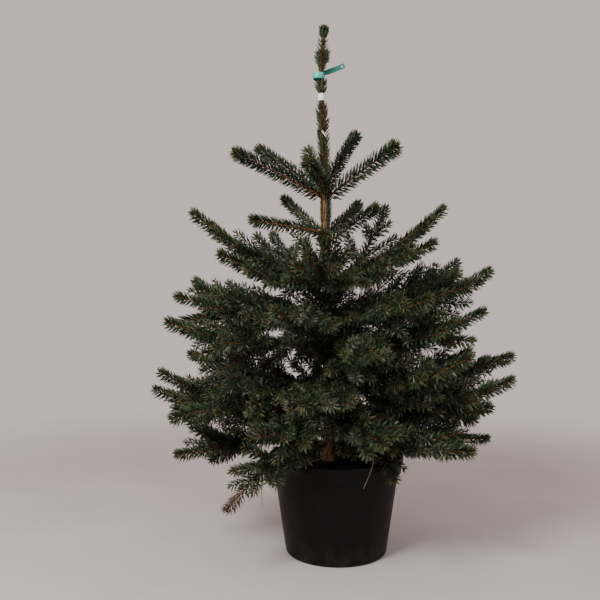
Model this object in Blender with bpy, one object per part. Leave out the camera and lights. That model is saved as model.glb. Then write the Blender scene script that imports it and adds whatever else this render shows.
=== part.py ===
"""A young spruce in a black nursery pot, modelled at its real size in metres, +Z up.

The origin is the middle of the pot's flat underside. Azimuths are degrees seen from above, with
0 to the right (+X), 90 to the back (+Y), 180 to the left and 270 to the front.
"""

import math
import random
from collections import namedtuple

import bmesh
import bpy
import numpy as np
from mathutils import Matrix, Vector

# Clearance between neighbouring solids, and between a branch and the trunk's faceted bark
GAP = 0.0003
SOCKET_GAP = 0.0004

# Pot
POT_HEIGHT = 0.320
POT_BASE_RADIUS = 0.1670
POT_SHOULDER_RADIUS = 0.2055
POT_WALL = 0.0030
POT_CORNER = 0.0090
COLLAR_HEIGHT = 0.056
COLLAR_STEP = 0.0090
COLLAR_TAPER = 0.0035
LIP_HEIGHT = 0.019
COLLAR_SLOPE = 0.0020
LIP_PROUD = 0.0045
LIP_SLOPE = 0.0015
LIP_ROUND = 0.0030
RIM_FALL = 0.0020
POT_SIDES = 40

# Soil
SOIL_BELOW_RIM = 0.026
SOIL_EDGE = 0.0040
SOIL_SHRINK = 0.0060

# Trunk: height, x, y and bark radius, from the flat cut on the soil to the top bud
TRUNK_COURSE = (
    (0.2943, -0.0230, 0.000, 0.0185),
    (0.5200, -0.0270, 0.002, 0.0155),
    (0.9200, -0.0333, 0.000, 0.0122),
    (1.1900, -0.0367, 0.000, 0.0098),
    (1.4000, -0.0430, 0.000, 0.0070),
    (1.5600, -0.0500, 0.001, 0.0056),
    (1.6600, -0.0445, 0.000, 0.0046),
    (1.7400, -0.0405, 0.000, 0.0032),
)
TRUNK_SIDES = 12
TRUNK_STATIONS = 14
TRUNK_BUD = 0.004
TRUNK_FLARE = 0.0095
FLARE_HEIGHT = 0.028
FLARE_STATIONS = (0.0, 0.010, 0.024, 0.050, 0.090)
FLARE_LOBES = 5
FLARE_LOBE_DEPTH = 0.22

# Leader: the stretch of the trunk's top that carries needles
LEADER_NEEDLES = (1.222, 1.7340)
LEADER_SKIN = 0.0012
LEADER_PITCH = 0.026
LEADER_CLEAR = 0.026
LEADER_SIDES = 6
LEADER_LEAN = 1.3
LEADER_SPREAD = 0.0145

# White paper band and green tie on the leader
BAND_HEIGHT = 1.505
BAND_WIDTH = 0.023
BAND_RADIUS = 0.0128
BAND_EASE = 0.0007
TIE_HEIGHT = 1.576
TIE_WIDTH = 0.020
TIE_RADIUS = 0.0190
TIE_THICKNESS = 0.0016
TIE_SIDES = 28
TAIL_LENGTH = 0.094
TAIL_RISE = 22.0
TAIL_EYE_RADIUS = 0.0038
TAIL_EYE_INSET = 0.009
TAIL_EYE_SIDES = 12
TAIL_EYE_DEPTH = 0.020
BARE_EASE = 0.002

# Boughs and foliage
BOUGH_SHARE = 0.34
BOUGH_STATIONS = 5
BOUGH_SWELL = 1.12
LIMB_BEND = 0.035
LIMB_TAPER = 0.8
DROOP_BOW = 2.6
HANGING_RISE = -0.12
SOCKET_STAGGER = (0.016, -0.016, 0.0)
BOUGH_SIDES = 6
TWIG_SIDES = 3
TWIG_TIP_RADIUS = 0.0016
STEM_TIP_RADIUS = 0.0021
SIDE_RADIUS = 0.0024
BARE_PAST_BOUGH = 0.030
BARE_SHARE = 0.22
SIDE_BARE = 0.030
SIDE_SPIN = 0.4
STATION = 0.046
SEED = 4
NEEDLE_OUT = 0.0185
NEEDLE_FORWARD = 0.0130
BUD_LENGTH = 0.014
SIDE_SHARE = 0.60
SIDE_LIMIT = 0.230
SIDE_ANGLE = 50.0
SIDE_BEND = 0.22
SIDE_LIFT = 0.05
FIRST_SIDE = 0.06
SHORTEST_SHOOT = 0.080
SPACE_MARGIN = 0.0030
TRUNK_MARGIN = 0.0060
POT_MARGIN = 0.0060
SPACE_STEPS = 8
GROWTH_STEP = 0.012

# A tier is one whorl: its height on the trunk, the yearly growth between side shoots, the girth
# of its branches at the trunk, how far they sag, how late they rise, and its branches. A branch
# has its direction's name, its azimuth, how far it reaches from the trunk and its tip's rise.
Tier = namedtuple("Tier", "name height year girth sag curl branches")
TIERS = (
    Tier("tier_1", 0.375, 0.105, 0.0066, 0.012, 1.6, (
        ("right", 353, 0.53, -0.01), ("back_right", 48, 0.53, 0.03),
        ("back_left", 128, 0.54, 0.03), ("left", 189, 0.51, -0.06),
        ("front_left", 224, 0.44, -0.15), ("front_right", 322, 0.52, 0.02))),
    Tier("tier_2", 0.470, 0.110, 0.0068, 0.022, 2.4, (
        ("right", 346, 0.60, 0.10), ("back_right", 28, 0.56, 0.10), ("back", 92, 0.56, 0.08),
        ("left", 178, 0.575, 0.11), ("front_left", 244, 0.48, 0.01), ("front", 287, 0.47, -0.03))),
    Tier("tier_3", 0.560, 0.115, 0.0066, 0.022, 1.8, (
        ("right", 4, 0.64, 0.065), ("back_right", 62, 0.57, 0.11), ("back_left", 148, 0.615, 0.07),
        ("front_left", 206, 0.54, -0.105), ("front", 260, 0.50, 0.01),
        ("front_right", 321, 0.52, 0.11))),
    Tier("tier_4", 0.680, 0.115, 0.0062, 0.024, 1.7, (
        ("right", 340, 0.52, 0.105), ("back_right", 36, 0.50, 0.10), ("back", 92, 0.50, 0.10),
        ("left", 199, 0.54, 0.07), ("front", 284, 0.44, 0.03))),
    Tier("tier_5", 0.780, 0.115, 0.0058, 0.020, 1.6, (
        ("back_right", 34, 0.635, 0.187), ("right", 6, 0.575, 0.172), ("back_left", 146, 0.60, 0.13),
        ("left", 182, 0.51, 0.05), ("front", 246, 0.41, 0.04), ("front_right", 313, 0.43, 0.06))),
    Tier("tier_6", 0.890, 0.125, 0.0050, 0.012, 1.5, (
        ("right", 8, 0.42, 0.25), ("back_right", 54, 0.415, 0.32), ("back_left", 121, 0.38, 0.20),
        ("left", 180, 0.455, 0.225), ("front_left", 208, 0.39, 0.105), ("front", 258, 0.34, 0.08),
        ("front_right", 334, 0.38, 0.11))),
    Tier("tier_7", 1.040, 0.120, 0.0042, 0.000, 1.0, (
        ("back_right", 57, 0.24, 0.125), ("right", 8, 0.185, 0.126), ("back_left", 130, 0.23, 0.160),
        ("left", 191, 0.26, 0.038), ("front", 268, 0.19, 0.005))),
    Tier("tier_8", 1.186, 0.400, 0.0040, 0.000, 0.9, (
        ("back_right", 60, 0.25, 0.234), ("right", 353, 0.245, 0.171), ("back_left", 141, 0.31, 0.194),
        ("front", 253, 0.22, 0.052), ("left", 184, 0.31, 0.151))),
)
MAIN_BOUGHS = (
    "tier_1_left", "tier_1_right", "tier_1_front_left", "tier_2_left", "tier_2_right",
    "tier_3_right", "tier_4_right", "tier_5_right",
)

# Colour, roughness and metallic value of each finish
FINISHES = {
    "black_plastic": ((0.012, 0.012, 0.013), 0.45, 0.0),
    "potting_soil": ((0.030, 0.020, 0.014), 0.95, 0.0),
    "bark": ((0.330, 0.190, 0.085), 0.85, 0.0),
    "spruce_green": ((0.030, 0.060, 0.030), 0.55, 0.0),
    "white_paper": ((0.800, 0.800, 0.820), 0.60, 0.0),
    "green_tie_plastic": ((0.050, 0.430, 0.340), 0.35, 0.0),
}


def clear_scene():
    for item in list(bpy.data.objects):
        bpy.data.objects.remove(item, do_unlink=True)


def finish(name):
    material = bpy.data.materials.get(name)
    if material is None:
        colour, roughness, metallic = FINISHES[name]
        material = bpy.data.materials.new(name)
        material.use_nodes = True
        shader = material.node_tree.nodes["Principled BSDF"]
        shader.inputs["Base Color"].default_value = (*colour, 1.0)
        shader.inputs["Roughness"].default_value = roughness
        shader.inputs["Metallic"].default_value = metallic
    return material


def add_object(name, bm, finish_name, smooth=False):
    bmesh.ops.triangulate(bm, faces=bm.faces, quad_method="SHORT_EDGE")
    bmesh.ops.recalc_face_normals(bm, faces=bm.faces)
    if bm.calc_volume(signed=True) < 0:
        bmesh.ops.reverse_faces(bm, faces=bm.faces)
    mesh = bpy.data.meshes.new(name)
    bm.to_mesh(mesh)
    bm.free()
    if smooth:
        mesh.shade_smooth()
        mesh.set_sharp_from_angle(angle=math.radians(35))
    mesh.materials.append(finish(finish_name))
    item = bpy.data.objects.new(name, mesh)
    bpy.context.scene.collection.objects.link(item)
    return item


def evaluated_copy(item):
    """The item's mesh with its modifiers applied."""
    depsgraph = bpy.context.evaluated_depsgraph_get()
    mesh = bpy.data.meshes.new_from_object(item.evaluated_get(depsgraph))
    item.modifiers.clear()
    spent = item.data
    item.data = mesh
    mesh.name = item.name
    bpy.data.meshes.remove(spent)
    return mesh


def keep_main_body(mesh):
    """Fill hollows that a union sealed and drop its loose scraps: only the largest shell stays."""
    bm = bmesh.new()
    bm.from_mesh(mesh)
    left = set(bm.verts)
    shells = []
    while left:
        shell, edge_of_shell = set(), [left.pop()]
        while edge_of_shell:
            vert = edge_of_shell.pop()
            shell.add(vert)
            reached = {edge.other_vert(vert) for edge in vert.link_edges} & left
            left -= reached
            edge_of_shell += reached
        shells.append(shell)
    shells.sort(key=len)
    spare = [vert for shell in shells[:-1] for vert in shell]
    bmesh.ops.delete(bm, geom=spare, context="VERTS")
    bm.to_mesh(mesh)
    bm.free()


def fuse(item, others):
    """Join closed solids to the item in one Boolean union on a collection."""
    group = bpy.data.collections.new(item.name + "_pieces")
    for other in others:
        group.objects.link(other)
    union = item.modifiers.new("union", "BOOLEAN")
    union.operation = "UNION"
    union.operand_type = "COLLECTION"
    union.collection = group
    union.solver = "MANIFOLD"
    keep_main_body(evaluated_copy(item))
    for other in others:
        mesh = other.data
        bpy.data.objects.remove(other, do_unlink=True)
        bpy.data.meshes.remove(mesh)
    bpy.data.collections.remove(group)


def turned(name, profile, sides, finish_name, centre=(0.0, 0.0, 0.0)):
    """A closed profile of (radius, height) points turned about the upright axis."""
    bm = bmesh.new()
    points = [bm.verts.new((radius, 0.0, height)) for radius, height in profile]
    ring = points if profile[0][0] == 0.0 else points + points[:1]
    edges = [bm.edges.new(pair) for pair in zip(ring, ring[1:])]
    bmesh.ops.spin(
        bm, geom=edges, cent=(0, 0, 0), axis=(0, 0, 1), angle=math.tau, steps=sides,
        use_merge=True)
    bmesh.ops.remove_doubles(bm, verts=bm.verts, dist=0.00002)
    bmesh.ops.translate(bm, verts=bm.verts, vec=centre)
    return add_object(name, bm, finish_name, smooth=True)


def arc(centre, radius, start, stop, steps):
    """Points along an arc in the profile's plane, angles in degrees from outward."""
    angles = (math.radians(start + (stop - start) * i / steps) for i in range(steps + 1))
    return [(centre[0] + radius * math.cos(a), centre[1] + radius * math.sin(a)) for a in angles]


def build_pot():
    shoulder = POT_HEIGHT - COLLAR_HEIGHT
    collar_low = POT_SHOULDER_RADIUS + COLLAR_STEP
    collar_high = collar_low + COLLAR_TAPER
    lip_low = POT_HEIGHT - LIP_HEIGHT
    lip = collar_high + LIP_PROUD
    corner = (POT_BASE_RADIUS - POT_CORNER, POT_CORNER)
    outside = [(0.0, 0.0)] + arc(corner, POT_CORNER, -90, 0, 3)
    outside += [(POT_SHOULDER_RADIUS, shoulder), (collar_low, shoulder + COLLAR_SLOPE)]
    outside += [(collar_high, lip_low), (lip, lip_low + LIP_SLOPE)]
    outside += arc((lip - LIP_ROUND, POT_HEIGHT - LIP_ROUND), LIP_ROUND, 0, 90, 2)
    inside = [(collar_high - POT_WALL, POT_HEIGHT - RIM_FALL)]
    inside += [(collar_low - POT_WALL, shoulder + 2 * COLLAR_SLOPE)]
    inside += [(POT_SHOULDER_RADIUS - POT_WALL, shoulder - COLLAR_SLOPE / 2)]
    inside += [(POT_BASE_RADIUS - POT_WALL, POT_CORNER), (corner[0], POT_WALL), (0.0, POT_WALL)]
    return turned("pot", outside + inside, POT_SIDES, "black_plastic")


def build_soil():
    shoulder = POT_HEIGHT - COLLAR_HEIGHT
    collar_low = POT_SHOULDER_RADIUS + COLLAR_STEP
    top = POT_HEIGHT - SOIL_BELOW_RIM
    lip_low = POT_HEIGHT - LIP_HEIGHT
    wall_rise = (top - shoulder) / (lip_low - shoulder)
    collar = collar_low + COLLAR_TAPER * wall_rise * 0.5
    inset = POT_WALL + 2 * GAP
    profile = [
        (0.0, POT_WALL + GAP),
        (POT_BASE_RADIUS - POT_CORNER - GAP, POT_WALL + GAP),
        (POT_BASE_RADIUS - inset, POT_CORNER + GAP),
        (POT_SHOULDER_RADIUS - inset, shoulder - COLLAR_SLOPE / 2),
        (collar_low - inset, shoulder + 2 * COLLAR_SLOPE + GAP),
        (collar - inset, top - SOIL_EDGE),
        (collar - inset - SOIL_SHRINK, top),
        (0.0, top),
    ]
    return turned("soil", profile, POT_SIDES, "potting_soil")


def smooth_course(height):
    """The trunk's x, y and bark radius at a height, on a smooth curve through its course."""
    rows = TRUNK_COURSE
    i = max(j for j in range(len(rows) - 1) if rows[j][0] <= height)
    low, high = rows[i], rows[i + 1]
    before, after = rows[max(i - 1, 0)], rows[min(i + 2, len(rows) - 1)]
    span = high[0] - low[0]
    t = (height - low[0]) / span
    values = []
    for k in (1, 2, 3):
        slope_low = (high[k] - before[k]) / (high[0] - before[0]) * span
        slope_high = (after[k] - low[k]) / (after[0] - low[0]) * span
        values.append(
            (2 * t**3 - 3 * t**2 + 1) * low[k] + (t**3 - 2 * t**2 + t) * slope_low
            + (3 * t**2 - 2 * t**3) * high[k] + (t**3 - t**2) * slope_high)
    return values


def trunk_stations():
    """Height, x, y, bark radius and flare of each ring of the trunk, close together at its foot."""
    foot, tip = TRUNK_COURSE[0][0], TRUNK_COURSE[-1][0]
    heights = [foot + rise for rise in FLARE_STATIONS]
    step = (tip - heights[-1]) / TRUNK_STATIONS
    heights += [heights[-1] + step * i for i in range(1, TRUNK_STATIONS + 1)]
    stations = []
    for height in heights:
        x, y, radius = smooth_course(height)
        flare = TRUNK_FLARE * math.exp(-(height - foot) / FLARE_HEIGHT)
        stations.append((height, x, y, radius, flare))
    return stations


def trunk_at(height):
    """The centre and radius of the trunk as built, straight from ring to ring."""
    stations = trunk_stations()
    height = min(max(height, stations[0][0]), stations[-1][0])
    i = max(j for j in range(len(stations) - 1) if stations[j][0] <= height)
    low, high = stations[i], stations[i + 1]
    t = (height - low[0]) / (high[0] - low[0])
    _, x, y, radius, flare = (a + (b - a) * t for a, b in zip(low, high))
    return Vector((x, y, height)), radius + flare


def extrude_to(bm, cap, ring):
    """Extrude an end face to a further ring of points and return the new end face."""
    inner = any(len(edge.link_faces) > 1 for edge in cap.edges)
    grown = bmesh.ops.extrude_face_region(bm, geom=[cap])["geom"]
    new_cap = next(part for part in grown if isinstance(part, bmesh.types.BMFace))
    if inner:
        bm.faces.remove(cap)
    for corner, point in zip(new_cap.verts, ring):
        corner.co = point
    return new_cap


def ring_loft(rings):
    """A closed solid whose cross-section is extruded from ring to ring of points."""
    bm = bmesh.new()
    cap = bm.faces.new([bm.verts.new(point) for point in rings[0]])
    for ring in rings[1:]:
        cap = extrude_to(bm, cap, ring)
    return bm, cap


def build_trunk():
    rings = []
    for height, x, y, radius, flare in trunk_stations():
        ring = []
        for i in range(TRUNK_SIDES):
            angle = math.tau * i / TRUNK_SIDES
            lobed = radius + flare * (1 + FLARE_LOBE_DEPTH * math.cos(FLARE_LOBES * angle))
            ring.append(Vector((x + lobed * math.cos(angle), y + lobed * math.sin(angle), height)))
        rings.append(ring)
    bm, cap = ring_loft(rings)
    bud = bmesh.ops.poke(bm, faces=[cap])["verts"][0]
    bud.co.z += TRUNK_BUD
    return add_object("trunk", bm, "bark", smooth=True)


def ring_band(name, centre, inner, outer, low, high, sides, finish_name):
    """A short tube about an upright axis."""
    profile = [(inner, low), (outer, low), (outer, high), (inner, high)]
    return turned(name, profile, sides, finish_name, centre)


def leader_skin_radius(bark_radius):
    """The furthest that the faceted skin stands from the leader's axis."""
    return (bark_radius + GAP + LEADER_SKIN) / math.cos(math.pi / LEADER_SIDES)


def build_band():
    """The paper band, drawn tight round the leader with the needles pressed under it."""
    centre, radius = trunk_at(BAND_HEIGHT)
    half = BAND_WIDTH / 2
    bore = leader_skin_radius(radius) + BAND_EASE
    return ring_band(
        "leader_band", centre, bore, BAND_RADIUS, -half, half, TRUNK_SIDES * 2, "white_paper")


def build_tie():
    """The plastic tie: a loose loop that bears on the leader's right side, and its flat tail."""
    trunk, radius = trunk_at(TIE_HEIGHT)
    inner = TIE_RADIUS - TIE_THICKNESS
    centre = trunk - Vector((inner - leader_skin_radius(radius) - 2 * GAP, 0, 0))
    half = TIE_WIDTH / 2
    loop = ring_band(
        "leader_tie", centre, inner, TIE_RADIUS, -half, half, TIE_SIDES, "green_tie_plastic")
    bm = bmesh.new()
    bmesh.ops.create_cube(bm, size=1.0)
    bmesh.ops.scale(bm, verts=bm.verts, vec=(TAIL_LENGTH, TIE_THICKNESS, TIE_WIDTH))
    bmesh.ops.translate(bm, verts=bm.verts, vec=(TAIL_LENGTH / 2, 0, 0))
    bmesh.ops.rotate(
        bm, verts=bm.verts, cent=(0, 0, 0), matrix=Matrix.Rotation(-math.radians(TAIL_RISE), 3, "Y"))
    root = centre + Vector((0, TIE_RADIUS - TIE_THICKNESS / 2, 0))
    bmesh.ops.translate(bm, verts=bm.verts, vec=root)
    tail = add_object("tie_tail", bm, "green_tie_plastic")
    fuse(loop, [tail])
    eye = bmesh.new()
    bmesh.ops.create_cone(
        eye, cap_ends=True, segments=TAIL_EYE_SIDES, radius1=TAIL_EYE_RADIUS,
        radius2=TAIL_EYE_RADIUS, depth=TAIL_EYE_DEPTH, matrix=Matrix.Rotation(math.pi / 2, 4, "X"))
    reach = TAIL_LENGTH - TAIL_EYE_INSET
    rise = math.radians(TAIL_RISE)
    place = root + Vector((reach * math.cos(rise), 0, reach * math.sin(rise)))
    bmesh.ops.translate(eye, verts=eye.verts, vec=place)
    punch = add_object("tie_punch", eye, "green_tie_plastic")
    cut = loop.modifiers.new("eye", "BOOLEAN")
    cut.operation = "DIFFERENCE"
    cut.object = punch
    evaluated_copy(loop)
    bpy.data.objects.remove(punch, do_unlink=True)
    return loop


def bare_bands():
    """The stretches of the leader that the band and the tie take up."""
    return [
        (middle - width / 2 - BARE_EASE, middle + width / 2 + BARE_EASE)
        for middle, width in ((BAND_HEIGHT, BAND_WIDTH), (TIE_HEIGHT, TIE_WIDTH))]


def leader_levels(low, high):
    """Ring heights from low to high that take in the trunk's own stations on the way."""
    marks = [low] + [row[0] for row in trunk_stations() if low < row[0] < high] + [high]
    marks = sorted(marks + [edge for band in bare_bands() for edge in band])
    levels = [low]
    for start, stop in zip(marks, marks[1:]):
        pitches = max(1, round((stop - start) / LEADER_PITCH))
        levels += [start + (stop - start) * i / pitches for i in range(1, pitches + 1)]
    return levels


def build_leader_needles():
    """A skin round the leader, 0.3 mm clear of its bark, that needles stand out of except under
    the band and the tie."""
    low, high = LEADER_NEEDLES
    levels = leader_levels(low, high)
    rounding = 1 / math.cos(math.pi / LEADER_SIDES)
    outer, inner = [], []
    for level in levels:
        centre, radius = trunk_at(level)
        for wall, size in ((inner, GAP), (outer, GAP + LEADER_SKIN)):
            ring = []
            for side in range(LEADER_SIDES):
                angle = math.tau * (side + 0.5) / LEADER_SIDES
                spoke = Vector((math.cos(angle), math.sin(angle), 0))
                ring.append(centre + spoke * (radius + size) * rounding)
            wall.append(ring)
    bm = bmesh.new()
    outside = [[bm.verts.new(point) for point in ring] for ring in outer]
    inside = [[bm.verts.new(point) for point in ring] for ring in inner]
    loop = outside + inside[::-1] + outside[:1]
    walls = []
    for step, (lower, upper) in enumerate(zip(loop, loop[1:])):
        for i in range(LEADER_SIDES):
            j = (i + 1) % LEADER_SIDES
            wall = bm.faces.new((lower[i], lower[j], upper[j], upper[i]))
            if step < len(levels) - 1:
                walls.append(wall)
    chance = random.Random("leader")
    for wall in walls:
        root = wall.calc_center_median()
        rise = min(NEEDLE_FORWARD * LEADER_LEAN, high - root.z - GAP)
        spread = LEADER_SPREAD * chance.uniform(0.75, 1.1)
        if any(start < root.z + rise and root.z < stop for start, stop in bare_bands()):
            continue
        centre, _ = trunk_at(root.z)
        spoke = (root - centre).normalized()
        needle = bmesh.ops.poke(bm, faces=[wall])["verts"][0]
        needle.co += spoke * spread + Vector((0, 0, rise))
    return add_object("leader_needles", bm, "spruce_green")


Branch = namedtuple("Branch", "name azimuth reach rise height year girth sag curl share")


def all_branches():
    branches = []
    for tier in TIERS:
        for i, (side, azimuth, reach, rise) in enumerate(tier.branches):
            name = tier.name + "_" + side
            chance = random.Random(name)
            stagger = SOCKET_STAGGER[i % len(SOCKET_STAGGER)]
            share = BOUGH_SHARE if name in MAIN_BOUGHS else 0.0
            branches.append(Branch(
                name, math.radians(azimuth), reach, rise, tier.height + stagger, tier.year,
                tier.girth * chance.uniform(0.92, 1.08), tier.sag, tier.curl, share))
    return branches


def branch_outward(branch):
    return Vector((math.cos(branch.azimuth), math.sin(branch.azimuth), 0))


def branch_point(branch, t):
    """The branch's axis, from its socket at the trunk (t = 0) to its furthest tip (t = 1)."""
    outward = branch_outward(branch)
    across = Vector((-outward.y, outward.x, 0))
    trunk, _ = trunk_at(branch.height)
    _, radius = trunk_at(branch.height - branch.girth)
    socket = radius + SOCKET_GAP
    bend = random.Random(branch.name + " bend").uniform(-LIMB_BEND, LIMB_BEND) * branch.reach
    out = socket + (branch.reach - socket) * t
    bow = DROOP_BOW if branch.rise < HANGING_RISE else branch.curl
    up = branch.rise * t ** bow - branch.sag * math.sin(math.pi * t)
    return trunk + outward * out + across * bend * math.sin(math.pi * t) + Vector((0, 0, up))


def branch_girth(branch, t):
    return branch.girth * (1 - t) ** LIMB_TAPER + TWIG_TIP_RADIUS * t


def heading_at(path, t):
    step = 0.02
    return (path(min(t + step, 1.0)) - path(max(t - step, 0.0))).normalized()


def frame(origin, heading, spin, radius):
    """The placing of a cross-section: its x to the side and its z along the heading."""
    side = Vector((0, 0, 1)).cross(heading)
    if side.length < 0.01:
        side = Vector((1, 0, 0))
    side.normalize()
    up = heading.cross(side)
    turn = Matrix((side, up, heading)).transposed().to_4x4()
    size = Matrix.Diagonal((radius, radius, 1, 1))
    return Matrix.Translation(origin) @ turn @ Matrix.Rotation(spin, 4, "Z") @ size


def section(sides, placing):
    angles = [math.tau * i / sides for i in range(sides)]
    return [placing @ Vector((math.cos(a), math.sin(a), 0)) for a in angles]


class Space:
    """Tells whether a point is in the space of one branch: nearer its line than any other's."""

    def __init__(self, branches):
        self.names = [branch.name for branch in branches]
        starts, ends, owners = [], [], []
        for k, branch in enumerate(branches):
            line = [branch_point(branch, i / SPACE_STEPS) for i in range(SPACE_STEPS + 1)]
            starts += line[:-1]
            ends += line[1:]
            owners += [k] * SPACE_STEPS
        self.starts = np.array(starts)
        self.runs = np.array(ends) - self.starts
        self.lengths = (self.runs ** 2).sum(axis=1)
        self.firsts = np.arange(0, len(owners), SPACE_STEPS)

    def distances(self, point):
        """The distance from the point to each branch's line."""
        offset = np.array(point) - self.starts
        share = np.clip((offset * self.runs).sum(axis=1) / self.lengths, 0.0, 1.0)
        nearest = offset - share[:, None] * self.runs
        return np.sqrt(np.minimum.reduceat((nearest ** 2).sum(axis=1), self.firsts))

    def holds(self, name, point, margin=SPACE_MARGIN):
        trunk, radius = trunk_at(point.z)
        off_trunk = math.hypot(point.x - trunk.x, point.y - trunk.y) - radius
        room = LEADER_CLEAR if point.z > LEADER_NEEDLES[0] - 0.01 else TRUNK_MARGIN
        if off_trunk < room:
            return False
        off_axis = math.hypot(point.x, point.y)
        rim = POT_SHOULDER_RADIUS + COLLAR_STEP + COLLAR_TAPER + LIP_PROUD
        if point.z < POT_HEIGHT + POT_MARGIN and off_axis < rim + POT_MARGIN:
            return False
        if point.z < POT_MARGIN:
            return False
        distances = self.distances(point)
        own = self.names.index(name)
        mine = distances[own]
        distances[own] = np.inf
        return mine + 2 * margin < distances.min()


def split_outward(wall, middle):
    """Split a twisted four-sided wall along its diagonal that stands further from the axis."""
    corners = list(wall.verts)
    diagonals = (corners[0], corners[2]), (corners[1], corners[3])
    start, end = max(
        diagonals, key=lambda pair: ((pair[0].co + pair[1].co) / 2 - middle).length)
    bmesh.utils.face_split(wall, start, end)


def shoot(name, path, length, radii, bare, space, owner, spin=0.0, root_heading=None):
    """A twig of triangular section along a path, each stretch past the bare part toothed with
    needles that lean forward. Needles that would leave the owner's space are left off."""
    stretches = max(2, round(length / STATION))
    start_radius, end_radius = radii
    stations = [i / stretches for i in range(stretches + 1)]
    rings = []
    for i, t in enumerate(stations):
        radius = start_radius + (end_radius - start_radius) * t
        heading = root_heading if root_heading and i == 0 else heading_at(path, t)
        rings.append(frame(path(t), heading, spin + i * math.pi / TWIG_SIDES, radius))
    bm = bmesh.new()
    cap = bm.faces.new([bm.verts.new(point) for point in section(TWIG_SIDES, rings[0])])
    for i, placing in enumerate(rings[1:]):
        low_centre = cap.calc_center_median()
        cap = extrude_to(bm, cap, section(TWIG_SIDES, placing))
        middle = (low_centre + cap.calc_center_median()) / 2
        heading = heading_at(path, (stations[i] + stations[i + 1]) / 2)
        walls = {face for corner in cap.verts for face in corner.link_faces if face is not cap}
        for wall in sorted(walls, key=lambda face: face.calc_center_median().z):
            centre = wall.calc_center_median()
            spoke = centre - middle
            spoke -= heading * spoke.dot(heading)
            spoke.normalize()
            tip = centre + spoke * NEEDLE_OUT + heading * NEEDLE_FORWARD
            fits = space.holds(owner, tip) and space.holds(owner, centre.lerp(tip, 0.5))
            if stations[i + 1] * length > bare and fits:
                needle = bmesh.ops.poke(bm, faces=[wall])["verts"][0]
                needle.co = tip
            else:
                split_outward(wall, middle)
    bud = bmesh.ops.poke(bm, faces=[cap])["verts"][0]
    bud.co += heading_at(path, 1.0) * BUD_LENGTH
    return add_object(name, bm, "spruce_green")


def side_path(root, heading, along, length):
    """A side shoot's axis: it leaves at its own heading and bends towards the shoot it is on."""
    def path(t):
        lift = along * (SIDE_BEND * t * t) + Vector((0, 0, SIDE_LIFT * t * t))
        return root + (heading * t + lift) * length
    return path


def side_shoots(branch, path, length, first):
    """Pairs of side shoots at the end of each year's growth, longest far back from the tip."""
    shoots = []
    years = int((1 - first) * length / branch.year)
    for year in range(1, years + 1):
        for hand in (-1, 1):
            chance = random.Random(f"{SEED} {branch.name} {year} {hand}")
            back = branch.year * year * chance.uniform(0.93, 1.07)
            t = 1 - back / length
            if t < first + 0.02:
                continue
            along = heading_at(path, t)
            across = Vector((0, 0, 1)).cross(along).normalized() * hand
            angle = math.radians(SIDE_ANGLE + chance.uniform(-7, 7))
            tilt = math.radians(chance.uniform(-14, 8))
            heading = along * math.cos(angle) + across * math.sin(angle)
            heading.z += math.sin(tilt)
            size = min(back * SIDE_SHARE, SIDE_LIMIT) * chance.uniform(0.85, 1.1)
            shoots.append((f"{year}_{hand}", path(t), heading.normalized(), along, size))
    return shoots


def length_within(space, owner, path, length):
    """How long a shoot can grow before it leaves its owner's space."""
    steps = max(3, round(length / GROWTH_STEP))
    for i in range(2, steps + 1):
        if not space.holds(owner, path(i / steps), SPACE_MARGIN * 1.5):
            return length * (i - 1) / steps
    return length


def build_bough(branch):
    """The bare inner part of a main branch: one tapering limb with a swollen socket."""
    rings = []
    for i in range(BOUGH_STATIONS + 1):
        t = branch.share * i / BOUGH_STATIONS
        heading = heading_at(lambda s: branch_point(branch, s), t)
        if i == 0:
            heading = branch_outward(branch)
        swell = BOUGH_SWELL if i == 0 else 1.0
        rings.append(section(BOUGH_SIDES, frame(
            branch_point(branch, t), heading, 0.0, branch_girth(branch, t) * swell)))
    bm, _ = ring_loft(rings)
    return add_object("bough_" + branch.name, bm, "bark", smooth=True)


def build_foliage(branch, space):
    """The mass of needles that grows on from a bough's tip, or straight from the trunk."""
    whole = (branch_point(branch, 1.0) - branch_point(branch, 0.0)).length
    seam = GAP / whole if branch.share else 0.0
    first = branch.share + seam
    last = 1 - BUD_LENGTH / whole

    def stem_path(t):
        return branch_point(branch, first + (last - first) * t)

    length = (stem_path(1.0) - stem_path(0.0)).length
    radii = (branch_girth(branch, first), STEM_TIP_RADIUS)
    bare = BARE_PAST_BOUGH if branch.share else BARE_SHARE * length
    level = None if branch.share else branch_outward(branch)
    stem = shoot(
        "foliage_" + branch.name, stem_path, length, radii, bare, space, branch.name,
        root_heading=level)
    twigs = []
    for label, root, heading, along, size in side_shoots(branch, stem_path, length, FIRST_SIDE):
        path = side_path(root, heading, along, size)
        room = length_within(space, branch.name, path, size)
        if room < SHORTEST_SHOOT:
            continue
        if room < size:
            path = side_path(root, heading, along, room)
        twigs.append(shoot(
            f"{branch.name}_twig_{label}", path, room - BUD_LENGTH, (SIDE_RADIUS, TWIG_TIP_RADIUS),
            SIDE_BARE, space, branch.name, spin=SIDE_SPIN))
    if twigs:
        fuse(stem, twigs)
    return stem


def build_plant():
    clear_scene()
    build_pot()
    build_soil()
    build_trunk()
    build_leader_needles()
    build_band()
    build_tie()
    branches = all_branches()
    space = Space(branches)
    for branch in branches:
        if branch.share:
            build_bough(branch)
        build_foliage(branch, space)


build_plant()
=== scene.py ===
"""The looks of a young spruce in a nursery pot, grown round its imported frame.

Metres, +Z up, the origin in the middle of the pot's underside. Azimuths are degrees seen from
above, with 0 to the right (+X), 90 to the back (+Y), 180 to the left and 270 to the front.
"""

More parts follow.
